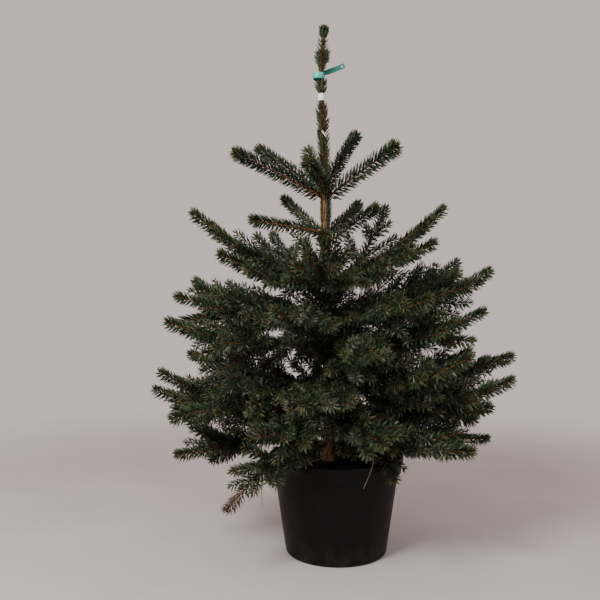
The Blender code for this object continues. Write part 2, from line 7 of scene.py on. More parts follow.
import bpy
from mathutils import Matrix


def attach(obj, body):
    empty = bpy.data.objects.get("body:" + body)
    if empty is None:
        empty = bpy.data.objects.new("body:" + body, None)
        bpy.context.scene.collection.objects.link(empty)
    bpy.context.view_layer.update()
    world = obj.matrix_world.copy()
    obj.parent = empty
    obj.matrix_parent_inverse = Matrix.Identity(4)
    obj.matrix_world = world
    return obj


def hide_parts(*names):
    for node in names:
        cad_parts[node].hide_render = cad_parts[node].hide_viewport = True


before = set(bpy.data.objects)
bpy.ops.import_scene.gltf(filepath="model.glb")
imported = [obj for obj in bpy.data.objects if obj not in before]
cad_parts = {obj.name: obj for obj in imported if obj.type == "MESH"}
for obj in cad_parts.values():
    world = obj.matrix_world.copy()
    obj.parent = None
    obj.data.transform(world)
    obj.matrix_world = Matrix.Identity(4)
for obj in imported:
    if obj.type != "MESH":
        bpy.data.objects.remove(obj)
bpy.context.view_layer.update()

import math
import random
from collections import namedtuple

import bmesh
import bpy
import numpy as np
from mathutils import Matrix, Vector, noise

# Clearance between a branch and the trunk's bark
SOCKET_GAP = 0.0004

# Pot
POT_HEIGHT = 0.320
POT_BASE_RADIUS = 0.1670
POT_SHOULDER_RADIUS = 0.2055
POT_WALL = 0.0030
POT_CORNER = 0.0090
COLLAR_HEIGHT = 0.056
COLLAR_STEP = 0.0090
COLLAR_TAPER = 0.0035
LIP_HEIGHT = 0.019
COLLAR_SLOPE = 0.0020
LIP_PROUD = 0.0045
LIP_SLOPE = 0.0015
LIP_ROUND = 0.0030
RIM_FALL = 0.0020
POT_STEPS = 128
RIM_STEPS = 5
EDGE_ROUND = 0.0012
WALL_WAVE = 0.0006
POT_DUST = (0.030, 0.024, 0.018)

# Soil
SOIL_BELOW_RIM = 0.026
SOIL_EDGE = 0.0040
SOIL_SHRINK = 0.0060
SOIL_STEPS = 96
SOIL_RINGS = 26
SOIL_RELIEF = 0.0045
SOIL_HEAP = 0.006
SOIL_SHADE = (0.004, 0.003, 0.0025)

# Trunk: height, x, y and bark radius, from the flat cut on the soil to the top bud
TRUNK_COURSE = (
    (0.2943, -0.0230, 0.000, 0.0185),
    (0.5200, -0.0270, 0.002, 0.0155),
    (0.9200, -0.0333, 0.000, 0.0122),
    (1.1900, -0.0367, 0.000, 0.0098),
    (1.4000, -0.0430, 0.000, 0.0070),
    (1.5600, -0.0500, 0.001, 0.0056),
    (1.6600, -0.0445, 0.000, 0.0046),
    (1.7400, -0.0405, 0.000, 0.0032),
)
TRUNK_STATIONS = 14
TRUNK_BUD = 0.004
TRUNK_FLARE = 0.0095
FLARE_HEIGHT = 0.028
FLARE_STATIONS = (0.0, 0.010, 0.024, 0.050, 0.090)
FLARE_LOBES = 5
FLARE_LOBE_DEPTH = 0.22
TRUNK_SUNK = 0.006
WHORL_SWELL = 0.0014
WHORL_SWELL_HEIGHT = 0.022
BARK_SIDES = 28
BARK_RING_STEP = 0.0055
BARK_RELIEF = 0.0010
BARK_GROOVE = (0.035, 0.022, 0.014)
# Bark colour by height; the dark grey-brown stretch from 0.362 m to 0.850 m is darkened further as
# painted shade under the crown
BARK_ZONES_WITH_SHADE = (
    (0.294, (0.250, 0.140, 0.058)), (0.332, (0.150, 0.086, 0.040)), (0.362, (0.055, 0.038, 0.025)),
    (0.850, (0.055, 0.040, 0.026)), (0.930, (0.200, 0.120, 0.050)), (1.150, (0.190, 0.118, 0.048)),
    (1.210, (0.110, 0.080, 0.030)), (1.500, (0.150, 0.100, 0.036)), (1.620, (0.220, 0.105, 0.042)),
)

# Leader: the stretch of the trunk's top that carries needles
LEADER_FOOT = 1.222
LEADER_CLEAR = 0.026

# White paper band and green tie on the leader
BAND_HEIGHT = 1.505
BAND_WIDTH = 0.023
BAND_RADIUS = 0.0128
BAND_PAPER = 0.0008
BAND_LAP = 50.0
BAND_START = 4.1
BAND_STEPS = 72
BAND_LIFT = 0.0016
PAPER_SOIL = (0.450, 0.420, 0.360)
TIE_HEIGHT = 1.576
TIE_WIDTH = 0.020
TIE_RADIUS = 0.0190
TIE_THICKNESS = 0.0016
TAIL_LENGTH = 0.094
TAIL_RISE = 20.0
TAIL_EYE_RADIUS = 0.0038
TAIL_EYE_INSET = 0.009
TAIL_EYE_STEPS = 24
TAIL_STEPS = 14
TAIL_SHARE = 0.85
TAIL_LIFT = 0.010
TAIL_NECK = 0.55
TAIL_CURL = 0.004
TIE_STEPS = 64
TIE_WAVE = 0.0007
TIE_BEARING = 0.0022
TIE_COLOURS = (0.020, 0.340, 0.280), (0.060, 0.500, 0.420)
# The tail's colours: the loop's plastic painted darker, as painted shade
TAIL_SHADED_COLOURS = (0.004, 0.115, 0.086), (0.009, 0.160, 0.124)

# Dead wood: name, the node it belongs with, its finish, its thickness from end to end, its course
DRY_WOOD_COLOURS = (0.100, 0.078, 0.048), (0.270, 0.220, 0.145)
HUSK_COLOURS = (0.480, 0.450, 0.400), (0.760, 0.730, 0.680)
SMALL_PIECES = (
    ("stick_on_soil", "soil", "dry_wood", 0.0030, 0.0020, (
        (-0.082, -0.037, 0.3000), (-0.060, -0.024, 0.3030), (-0.042, -0.010, 0.3040))),
    ("dead_twig", "foliage_tier_2_front", "dry_wood", 0.0012, 0.0007, (
        (0.105, -0.200, 0.400), (0.097, -0.240, 0.337), (0.069, -0.245, 0.268))),
    ("dry_thread", "foliage_tier_1_front_left", "dry_wood", 0.0012, 0.0009, (
        (-0.2340, -0.200, 0.285), (-0.2365, -0.200, 0.240), (-0.2350, -0.200, 0.200))),
    ("husk_on_leader", "leader_needles", "dry_husk", 0.0026, 0.0014, (
        (-0.047, -0.031, 1.386), (-0.041, -0.034, 1.376), (-0.034, -0.031, 1.366))),
    ("husk_long_wing", "leader_needles", "dry_husk", 0.0013, 0.0006, (
        (-0.040, -0.034, 1.374), (-0.022, -0.035, 1.397), (-0.005, -0.032, 1.416))),
    ("husk_short_wing", "leader_needles", "dry_husk", 0.0013, 0.0006, (
        (-0.036, -0.033, 1.369), (-0.025, -0.034, 1.383), (-0.012, -0.030, 1.396))),
)

# Boughs and foliage
BOUGH_SHARE = 0.34
BOUGH_SWELL = 1.35
BOUGH_SIDES = 14
BOUGH_RELIEF = 0.0005
COLLAR_SUNK = 0.006
LIMB_BEND = 0.035
LIMB_TAPER = 0.8
DROOP_BOW = 2.6
HANGING_RISE = -0.12
SOCKET_STAGGER = (0.016, -0.016, 0.0)
TWIG_TIP_RADIUS = 0.0016
STEM_TIP_RADIUS = 0.0021
SIDE_RADIUS = 0.0024
SEED = 4
BUD_LENGTH = 0.014
SIDE_SHARE = 0.60
SIDE_LIMIT = 0.230
SIDE_ANGLE = 50.0
SIDE_BEND = 0.22
SIDE_LIFT = 0.05
FIRST_SIDE = 0.06
SPACE_MARGIN = 0.0030
TRUNK_MARGIN = 0.0060
POT_MARGIN = 0.0060
SPACE_STEPS = 8
GROWTH_STEP = 0.012

# Finer twigs: the turn about their shoot (0 to its side, 90 over its top), their share of the
# growth beyond them and their greatest length, at the end of each year's growth and half a year on
STEM_TWIGS = (
    ((250, 0.46, 0.150), (292, 0.46, 0.150), (72, 0.40, 0.130), (110, 0.40, 0.130)),
    ((5, 0.60, 0.160), (175, 0.60, 0.160), (268, 0.40, 0.120), (90, 0.36, 0.110)),
)
SIDE_TWIGS = (
    ((-8, 0.64, 0.160), (188, 0.64, 0.160), (268, 0.40, 0.100), (90, 0.36, 0.090)),
    ((8, 0.52, 0.130), (172, 0.52, 0.130), (250, 0.38, 0.080)),
)
FLAT_SPREAD = (38.0, 50.0)
STEEP_SPREAD = (28.0, 42.0)
FINE_YEAR = 0.92
FINE_MARGIN = -0.020
SHORTEST_TWIG = 0.062
LAST_TWIGGED_ORDER = 2
YOUNG_WOOD = 0.45
PLAIN_BRANCHES = ("tier_6_back_right",)
YOUNG_GIRTH = 0.0042
OLD_GIRTH = 0.0068
OLD_BARE_SHARE = 0.20
TWIGGED_LENGTH = 0.135
OPEN_BELOW = ("tier_1",)
FLAT_TIERS = ("tier_6",)
YOUNG_TIERS = ("tier_7", "tier_8")
LONG_NEEDLED = {"tier_8": 1.08, "tier_7": 0.98, "tier_8_right": 1.32, "tier_1_right": 0.86}
TOP_LEAN = {"tier_8": 52.0, "tier_7": 46.0}
LOWEST_TIP = 0.262
HANGING_NEEDLES = 0.40

# Shoots that stand out of the rule: their branch, place along its stem, azimuth, climb in degrees,
# length, and how much of that they rise by their tip
LONE_SHOOTS = (
    ("tier_1_left", 0.36, 182, 10, 0.225, 0.58),
    ("tier_1_left", 0.26, 178, 4, 0.200, 0.30),
    ("tier_1_left", 0.30, 200, -24, 0.120, 0.05),
    ("tier_2_right", 0.20, -14, -16, 0.190, 0.12),
    ("tier_2_right", 0.30, -6, -8, 0.200, 0.14),
    ("tier_2_right", 0.42, 4, -8, 0.150, 0.12),
    ("tier_5_right", 0.42, 8, 38, 0.100, 0.30),
    ("tier_1_front_right", 0.36, -72, -35, 0.130, -0.05),
    ("tier_1_front_right", 0.22, -72, -12, 0.120, 0.00),
    ("tier_2_front", 0.30, 262, -36, 0.130, 0.00),
    ("tier_2_front", 0.36, 300, -38, 0.130, 0.00),
    ("tier_2_front_left", 0.34, 256, -38, 0.130, 0.00),
    ("tier_2_front_left", 0.50, 225, -36, 0.120, 0.00),
    ("tier_3_front_right", 0.14, 300, -50, 0.110, 0.00),
    ("tier_4_left", 0.22, 200, -38, 0.120, 0.00),
    ("tier_4_left", 0.12, 240, -45, 0.100, 0.00),
    ("tier_8_front", 0.10, 190, 63, 0.112, 0.10),
    ("tier_6_front_left", 0.08, 190, 77, 0.150, 0.06),
    ("tier_6_left", 0.36, 180, 56, 0.114, 0.05),
    ("tier_5_left", 0.60, 188, -12, 0.180, 0.00),
    ("tier_2_left", 0.45, 184, -10, 0.212, 0.32),
    ("tier_2_left", 0.30, 186, -12, 0.200, 0.10),
    ("tier_4_right", 0.45, 345, -14, 0.145, 0.10),
    ("tier_3_right", 0.10, -12, 22, 0.220, 0.05),
    ("tier_1_front_left", 0.25, 186, 28, 0.110, 0.00),
    ("tier_6_front_right", 0.15, 300, -12, 0.130, 0.00),
    ("tier_6_right", 0.14, 20, -10, 0.120, 0.00),
    ("tier_5_left", 0.12, 205, 18, 0.150, 0.00),
    ("tier_6_front_left", 0.25, 200, -35, 0.120, 0.00),
)

# Twigs straight on the trunk between the whorls
BETWEEN_FOOT = 0.40
BETWEEN_TOP = 0.95
BETWEEN_CLEAR = 0.009

# Needles
NEEDLE_LENGTHS = (0.0310, 0.0310, 0.0275, 0.0255)
NEEDLE_WIDTH = 0.0024
NEEDLE_FOLD = 0.0012
NEEDLE_BELLY = 0.58
NEEDLE_CURVE = 0.10
OUTER_COAT = (1960, 1980, 1620, 1380)
# The inner coat of short needles near the stem is all deep green: painted shade
INNER_COAT = (1500, 1300, 600, 0)
INNER_LENGTH = 0.62
THICK_TIERS = {"tier_8": 1.40, "tier_7": 1.30}
NEEDLE_LEAN = (40.0, 73.0)
CROWDED_LENGTH = 0.045
TIP_CROWDING = (3.0, 2.0, 1.30)
TUFT_LENGTH = 0.014
TUFT_CLOSING = 0.46
TUFT_SHORTENING = 0.64
OLIVE_LENGTH = 0.016
BUD_RADIUS = 0.0026
GOLDEN_TURN = math.radians(137.508)
CLUSTER_SIZES = (5, 5, 4, 3)
ROW_TURN = math.radians(135)
# Shares of clusters dealt pale grey-green (waxy lines and painted glints) and deep green (painted
# shade between the needles)
PALE_GLINT_SHARE = 0.14
DEEP_SHADE_SHARE = 0.20

# Needles on the leader: from and to a height, how many a metre, their lean and their length
LEADER_STRETCHES = (
    (1.160, 1.240, 5200, 52.0, 0.0220),
    (1.215, 1.480, 3000, 16.0, 0.0250),
    (1.215, 1.472, 2600, 36.0, 0.0310),
    (1.514, 1.690, 2600, 17.0, 0.0230),
    (1.515, 1.526, 6000, 44.0, 0.0200),
    (1.516, 1.556, 3000, 42.0, 0.0290),
    (1.588, 1.622, 1500, 34.0, 0.0280),
    (1.610, 1.650, 4600, 50.0, 0.0330),
    (1.656, 1.690, 1000, 46.0, 0.0290),
    (1.698, 1.730, 9000, 36.0, 0.0255),
)
TRUNK_STRETCHES = (
    (0.930, 1.030, 3600, 30.0, 0.0200),
    (1.040, 1.165, 5600, 26.0, 0.0220),
    (1.080, 1.200, 3000, 42.0, 0.0270),
)
LEADER_TOP_TUFT = 1.694
BROAD_NEEDLE = 0.0235

# A tier is one whorl: its height on the trunk, the yearly growth between side shoots, the girth
# of its branches at the trunk, how far they sag, how late they rise, and its branches. A branch
# has its direction's name, its azimuth, how far it reaches from the trunk and its tip's rise.
Tier = namedtuple("Tier", "name height year girth sag curl branches")
TIERS = (
    Tier("tier_1", 0.375, 0.105, 0.0066, 0.012, 1.6, (
        ("right", 353, 0.53, -0.01), ("back_right", 48, 0.53, 0.03),
        ("back_left", 128, 0.54, 0.03), ("left", 189, 0.51, -0.06),
        ("front_left", 224, 0.44, -0.15), ("front_right", 322, 0.52, 0.02))),
    Tier("tier_2", 0.470, 0.110, 0.0068, 0.022, 2.4, (
        ("right", 346, 0.60, 0.10), ("back_right", 28, 0.56, 0.10), ("back", 92, 0.56, 0.08),
        ("left", 178, 0.575, 0.11), ("front_left", 244, 0.48, 0.01), ("front", 287, 0.47, -0.03))),
    Tier("tier_3", 0.560, 0.115, 0.0066, 0.022, 1.8, (
        ("right", 4, 0.64, 0.065), ("back_right", 62, 0.57, 0.11), ("back_left", 148, 0.615, 0.07),
        ("front_left", 206, 0.54, -0.105), ("front", 260, 0.50, 0.01),
        ("front_right", 321, 0.52, 0.11))),
    Tier("tier_4", 0.680, 0.115, 0.0062, 0.024, 1.7, (
        ("right", 340, 0.52, 0.105), ("back_right", 36, 0.50, 0.10), ("back", 92, 0.50, 0.10),
        ("left", 199, 0.54, 0.07), ("front", 284, 0.44, 0.03))),
    Tier("tier_5", 0.780, 0.115, 0.0058, 0.020, 1.6, (
        ("back_right", 34, 0.635, 0.187), ("right", 6, 0.575, 0.172), ("back_left", 146, 0.60, 0.13),
        ("left", 182, 0.51, 0.05), ("front", 246, 0.41, 0.04), ("front_right", 313, 0.43, 0.06))),
    Tier("tier_6", 0.890, 0.125, 0.0050, 0.012, 1.5, (
        ("right", 8, 0.42, 0.25), ("back_right", 54, 0.415, 0.32), ("back_left", 121, 0.38, 0.20),
        ("left", 180, 0.455, 0.225), ("front_left", 208, 0.39, 0.105), ("front", 258, 0.34, 0.08),
        ("front_right", 334, 0.38, 0.11))),
    Tier("tier_7", 1.040, 0.120, 0.0042, 0.000, 1.0, (
        ("back_right", 57, 0.24, 0.125), ("right", 8, 0.185, 0.126), ("back_left", 130, 0.23, 0.160),
        ("left", 191, 0.26, 0.038), ("front", 268, 0.19, 0.005))),
    Tier("tier_8", 1.186, 0.400, 0.0040, 0.000, 0.9, (
        ("back_right", 60, 0.25, 0.234), ("right", 353, 0.245, 0.171), ("back_left", 141, 0.31, 0.194),
        ("front", 253, 0.22, 0.052), ("left", 184, 0.31, 0.151))),
)
MAIN_BOUGHS = (
    "tier_1_left", "tier_1_right", "tier_1_front_left", "tier_2_left", "tier_2_right",
    "tier_3_right", "tier_4_right", "tier_5_right",
)

# Camera, matched to the photograph's view
CAMERA_PLACE = (-0.12, -2.3, 0.83)
CAMERA_LENS = 41.4

# Surroundings and floor
SURROUNDINGS = (0.715, 0.600, 0.575)
FLOOR_LIGHT = (0.540, 0.490, 0.472)
FLOOR_DARK = (0.485, 0.438, 0.422)
FLOOR_FULL = 1.3
FLOOR_RADIUS = 3.4

# Sockets of shader groups and of the colour mixing node
FLOAT, VECTOR, COLOUR = "NodeSocketFloat", "NodeSocketVector", "NodeSocketColor"
MIX_FACTOR, MIX_FIRST, MIX_SECOND, MIX_RESULT = 0, 6, 7, 2
SHARP_EDGE = math.radians(42)

# Plain colours of the needles and twigs, dealt out by spray
NEEDLE_COLOURS = {
    "needles_dark_green": ((0.050, 0.076, 0.038), 0.55),
    "needles_deep_green": ((0.028, 0.041, 0.022), 0.60),
    # Made paler than the needles' own grey-green, so that it also serves as painted glints
    "needles_grey_green": ((0.140, 0.168, 0.112), 0.50),
    "needles_mid_green": ((0.074, 0.112, 0.045), 0.55),
    "needles_olive": ((0.130, 0.112, 0.044), 0.60),
    "needles_brown": ((0.078, 0.052, 0.024), 0.65),
}
DARK, DEEP, GREY, MID, OLIVE, BROWN = range(6)
TWIG_COLOURS = {
    "twigs_orange_brown": ((0.146, 0.060, 0.025), 0.70),
    "twigs_red_brown": ((0.058, 0.030, 0.016), 0.75),
    "twigs_grey_brown": ((0.030, 0.022, 0.016), 0.85),
    "buds_brown": ((0.078, 0.050, 0.024), 0.55),
}
ORANGE, RED, DULL, BUD = range(4)


def smooth_course(height):
    """The trunk's x, y and bark radius at a height, on a smooth curve through its course."""
    rows = TRUNK_COURSE
    i = max(j for j in range(len(rows) - 1) if rows[j][0] <= height)
    low, high = rows[i], rows[i + 1]
    before, after = rows[max(i - 1, 0)], rows[min(i + 2, len(rows) - 1)]
    span = high[0] - low[0]
    t = (height - low[0]) / span
    values = []
    for k in (1, 2, 3):
        slope_low = (high[k] - before[k]) / (high[0] - before[0]) * span
        slope_high = (after[k] - low[k]) / (after[0] - low[0]) * span
        values.append(
            (2 * t**3 - 3 * t**2 + 1) * low[k] + (t**3 - 2 * t**2 + t) * slope_low
            + (3 * t**2 - 2 * t**3) * high[k] + (t**3 - t**2) * slope_high)
    return values


def trunk_stations():
    """Height, x, y, bark radius and flare of each ring of the frame's trunk."""
    foot, tip = TRUNK_COURSE[0][0], TRUNK_COURSE[-1][0]
    heights = [foot + rise for rise in FLARE_STATIONS]
    step = (tip - heights[-1]) / TRUNK_STATIONS
    heights += [heights[-1] + step * i for i in range(1, TRUNK_STATIONS + 1)]
    stations = []
    for height in heights:
        x, y, radius = smooth_course(height)
        flare = TRUNK_FLARE * math.exp(-(height - foot) / FLARE_HEIGHT)
        stations.append((height, x, y, radius, flare))
    return stations


STATIONS = trunk_stations()


def trunk_at(height):
    """The centre and radius of the trunk, straight from ring to ring."""
    height = min(max(height, STATIONS[0][0]), STATIONS[-1][0])
    i = max(j for j in range(len(STATIONS) - 1) if STATIONS[j][0] <= height)
    low, high = STATIONS[i], STATIONS[i + 1]
    t = (height - low[0]) / (high[0] - low[0])
    _, x, y, radius, flare = (a + (b - a) * t for a, b in zip(low, high))
    return Vector((x, y, height)), radius + flare


Branch = namedtuple("Branch", "name tier azimuth reach rise height year girth sag curl share")
Shoot = namedtuple("Shoot", "branch path length radii bare order age")


def all_branches():
    branches = []
    for tier in TIERS:
        for i, (side, azimuth, reach, rise) in enumerate(tier.branches):
            name = tier.name + "_" + side
            chance = random.Random(name)
            stagger = SOCKET_STAGGER[i % len(SOCKET_STAGGER)]
            share = BOUGH_SHARE if name in MAIN_BOUGHS else 0.0
            branches.append(Branch(
                name, tier.name, math.radians(azimuth), reach, rise, tier.height + stagger,
                tier.year, tier.girth * chance.uniform(0.92, 1.08), tier.sag, tier.curl, share))
    return branches


def branch_outward(branch):
    return Vector((math.cos(branch.azimuth), math.sin(branch.azimuth), 0))


def branch_point(branch, t):
    """The branch's axis, from its socket at the trunk (t = 0) to its furthest tip (t = 1)."""
    outward = branch_outward(branch)
    across = Vector((-outward.y, outward.x, 0))
    trunk, _ = trunk_at(branch.height)
    _, radius = trunk_at(branch.height - branch.girth)
    socket = radius + SOCKET_GAP
    bend = random.Random(branch.name + " bend").uniform(-LIMB_BEND, LIMB_BEND) * branch.reach
    out = socket + (branch.reach - socket) * t
    bow = DROOP_BOW if branch.rise < HANGING_RISE else branch.curl
    up = branch.rise * t ** bow - branch.sag * math.sin(math.pi * t)
    return trunk + outward * out + across * bend * math.sin(math.pi * t) + Vector((0, 0, up))


def branch_girth(branch, t):
    return branch.girth * (1 - t) ** LIMB_TAPER + TWIG_TIP_RADIUS * t


def heading_at(path, t):
    step = 0.02
    return (path(min(t + step, 1.0)) - path(max(t - step, 0.0))).normalized()


class Space:
    """Tells whether a point is in the space of one branch: nearer its line than any other's."""

    def __init__(self, branches):
        self.names = [branch.name for branch in branches]
        starts, ends, owners = [], [], []
        for k, branch in enumerate(branches):
            line = [branch_point(branch, i / SPACE_STEPS) for i in range(SPACE_STEPS + 1)]
            starts += line[:-1]
            ends += line[1:]
            owners += [k] * SPACE_STEPS
        self.starts = np.array(starts)
        self.runs = np.array(ends) - self.starts
        self.lengths = (self.runs ** 2).sum(axis=1)
        self.firsts = np.arange(0, len(owners), SPACE_STEPS)

    def distances(self, point):
        """The distance from the point to each branch's line."""
        offset = np.array(point) - self.starts
        share = np.clip((offset * self.runs).sum(axis=1) / self.lengths, 0.0, 1.0)
        nearest = offset - share[:, None] * self.runs
        return np.sqrt(np.minimum.reduceat((nearest ** 2).sum(axis=1), self.firsts))

    def holds(self, name, point, margin=SPACE_MARGIN):
        trunk, radius = trunk_at(point.z)
        off_trunk = math.hypot(point.x - trunk.x, point.y - trunk.y) - radius
        room = LEADER_CLEAR if point.z > LEADER_FOOT - 0.01 else TRUNK_MARGIN
        if off_trunk < room:
            return False
        off_axis = math.hypot(point.x, point.y)
        rim = POT_SHOULDER_RADIUS + COLLAR_STEP + COLLAR_TAPER + LIP_PROUD
        if point.z < POT_HEIGHT + POT_MARGIN and off_axis < rim + POT_MARGIN:
            return False
        if point.z < POT_MARGIN:
            return False
        distances = self.distances(point)
        own = self.names.index(name)
        mine = distances[own]
        distances[own] = np.inf
        return mine + 2 * margin < distances.min()


def length_within(space, owner, path, length, margin=SPACE_MARGIN * 1.5):
    """How long a shoot can grow before it leaves its owner's space."""
    steps = max(3, round(length / GROWTH_STEP))
    for i in range(2, steps + 1):
        if not space.holds(owner, path(i / steps), margin):
            return length * (i - 1) / steps
    return length


def side_path(root, heading, along, length):
    """A side shoot's axis: it leaves at its own heading and bends towards the shoot it is on."""
    def path(t):
        lift = along * (SIDE_BEND * t * t) + Vector((0, 0, SIDE_LIFT * t * t))
        return root + (heading * t + lift) * length
    return path


def side_shoots(branch, path, length, first):
    """The frame's side shoots: pairs at the end of each year's growth, longest far back. Those of
    the youngest whorls are still buds."""
    years = 0 if branch.tier in YOUNG_TIERS else int((1 - first) * length / branch.year)
    for year in range(1, years + 1):
        for hand in (-1, 1):
            chance = random.Random(f"{SEED} {branch.name} {year} {hand}")
            back = branch.year * year * chance.uniform(0.93, 1.07)
            t = 1 - back / length
            if t < first + 0.02:
                continue
            along = heading_at(path, t)
            across = Vector((0, 0, 1)).cross(along).normalized() * hand
            angle = math.radians(SIDE_ANGLE + chance.uniform(-7, 7))
            tilt = math.radians(chance.uniform(-14, 8))
            heading = along * math.cos(angle) + across * math.sin(angle)
            heading.z += math.sin(tilt)
            size = min(back * SIDE_SHARE, SIDE_LIMIT) * chance.uniform(0.85, 1.1)
            yield path(t), heading.normalized(), along, size, year


def turned_heading(along, angle, turn):
    """A direction at an angle to a shoot's own, turned about it from its side (0) over its top."""
    side = Vector((0, 0, 1)).cross(along)
    if side.length < 0.05:
        side = Vector((1, 0, 0))
    side.normalize()
    over = along.cross(side)
    spoke = side * math.cos(turn) + over * math.sin(turn)
    return along * math.cos(angle) + spoke * math.sin(angle)


def fine_shoots(shoot, chance):
    """Finer twigs on a shoot, at the end of each year's growth and halfway through it."""
    year = shoot.branch.year * FINE_YEAR
    by_half = SIDE_TWIGS if shoot.order else STEM_TWIGS
    for half in range(1, int(2 * shoot.length / year) + 1):
        for base, share, limit in by_half[half % 2]:
            back = year * half / 2 * chance.uniform(0.93, 1.07)
            t = 1 - back / shoot.length
            if t * shoot.length < shoot.bare:
                continue
            along = heading_at(shoot.path, t)
            turn = math.radians(base + chance.uniform(-14, 14))
            steep = abs(math.sin(turn)) > 0.5
            if shoot.branch.tier in OPEN_BELOW and steep and math.sin(turn) < 0:
                continue
            if shoot.branch.tier in FLAT_TIERS and steep:
                continue
            spread = STEEP_SPREAD if steep else FLAT_SPREAD
            heading = turned_heading(along, math.radians(chance.uniform(*spread)), turn)
            size = min(back * share, limit) * chance.uniform(0.85, 1.15)
            yield shoot.path(t), heading, along, size, (half + 1) // 2


def grow(shoot, space, chance, shoots):
    """Add the finer twigs that fit in the branch's space, and twigs on those. The youngest whorl
    has none yet."""
    if shoot.branch.tier in YOUNG_TIERS or shoot.branch.name in PLAIN_BRANCHES:
        return
    for root, heading, along, size, age in fine_shoots(shoot, chance):
        path = side_path(root, heading, along, size)
        room = length_within(space, shoot.branch.name, path, size, FINE_MARGIN)
        if room < SHORTEST_TWIG:
            continue
        if room < size:
            path = side_path(root, heading, along, room)
        if path(1.0).z < LOWEST_TIP:
            continue
        fine = Shoot(
            shoot.branch, path, room, (SIDE_RADIUS * 0.72, TWIG_TIP_RADIUS * 0.8), 0.004,
            max(shoot.order, 1) + 1, age)
        shoots.append(fine)
        if fine.order <= LAST_TWIGGED_ORDER and room > TWIGGED_LENGTH:
            grow(fine, space, chance, shoots)


def rising_path(root, heading, length, lift):
    """A lone shoot's axis, which turns upwards on its way."""
    def path(t):
        return root + (heading * t + Vector((0, 0, lift * t * t))) * length
    return path


def lone_shoots(branch, stem):
    """The branch's shoots that stand out of the rule, with their twigs still to come."""
    for name, t, azimuth, climb, length, lift in LONE_SHOOTS:
        if name != branch.name:
            continue
        turn, slope = math.radians(azimuth), math.radians(climb)
        heading = Vector((
            math.cos(turn) * math.cos(slope), math.sin(turn) * math.cos(slope), math.sin(slope)))
        path = rising_path(stem(t), heading, length, lift)
        yield Shoot(branch, path, length, (SIDE_RADIUS, TWIG_TIP_RADIUS), 0.006, 1, 2)


def grow_branch(branch, space):
    """Every shoot of a branch: its stem, the frame's side shoots, and finer ones on both."""
    whole = (branch_point(branch, 1.0) - branch_point(branch, 0.0)).length
    first, last = branch.share, 1 - BUD_LENGTH / whole

    def stem_path(t):
        return branch_point(branch, first + (last - first) * t)

    length = (stem_path(1.0) - stem_path(0.0)).length
    radii = (branch_girth(branch, first), STEM_TIP_RADIUS)
    age = min(max((branch.girth - YOUNG_GIRTH) / (OLD_GIRTH - YOUNG_GIRTH), 0.0), 1.0)
    bare = 0.005 if branch.share else 0.006 + OLD_BARE_SHARE * length * age
    stem = Shoot(branch, stem_path, length, radii, bare, 0, 5)
    shoots = [stem]
    chance = random.Random(branch.name + " fine")
    for root, heading, along, size, year in side_shoots(branch, stem_path, length, FIRST_SIDE):
        path = side_path(root, heading, along, size)
        room = length_within(space, branch.name, path, size)
        if room < SHORTEST_TWIG:
            continue
        if room < size:
            path = side_path(root, heading, along, room)
        if path(1.0).z < LOWEST_TIP:
            continue
        side = Shoot(
            branch, path, room - BUD_LENGTH, (SIDE_RADIUS, TWIG_TIP_RADIUS), 0.006, 1, year)
        shoots.append(side)
        grow(side, space, chance, shoots)
    for lone in lone_shoots(branch, stem_path):
        shoots.append(lone)
        grow(lone, space, chance, shoots)
    grow(stem, space, chance, shoots)
    return shoots


def grow_between_whorls(space):
    """Short twigs that stand straight on the trunk between the whorls, clear of the branches."""
    chance = random.Random("between the whorls")
    shoots, height, azimuth = [], BETWEEN_FOOT, 0.0
    while height < BETWEEN_TOP:
        azimuth += GOLDEN_TURN
        height += chance.uniform(0.003, 0.007)
        centre, radius = trunk_at(height)
        outward = Vector((math.cos(azimuth), math.sin(azimuth), 0))
        heading = (outward + Vector((0, 0, chance.uniform(0.15, 0.6)))).normalized()
        size = chance.uniform(0.08, 0.15)
        path = side_path(centre + outward * radius * 0.7, heading, Vector((0, 0, 1)), size)
        if all(space.distances(path(i / 6)).min() > BETWEEN_CLEAR for i in range(1, 7)):
            shoots.append(Shoot(
                None, path, size, (SIDE_RADIUS, TWIG_TIP_RADIUS), radius * 0.5, 2, 3))
    return shoots


def sampled(shoot, steps):
    """Points along a shoot and its headings there, as arrays."""
    points = np.array([shoot.path(i / steps) for i in range(steps + 1)])
    headings = np.gradient(points, axis=0)
    headings /= np.linalg.norm(headings, axis=1)[:, None]
    return points, headings


def cross_axes(headings):
    """To the side and over the top of each heading."""
    up = np.zeros_like(headings)
    up[:, 2] = 1.0
    side = np.cross(up, headings)
    size = np.linalg.norm(side, axis=1)
    side[size < 0.05] = (1.0, 0.0, 0.0)
    side /= np.linalg.norm(side, axis=1)[:, None]
    return side, np.cross(headings, side)


Needles = namedtuple("Needles", "root direction bend length to_tip")


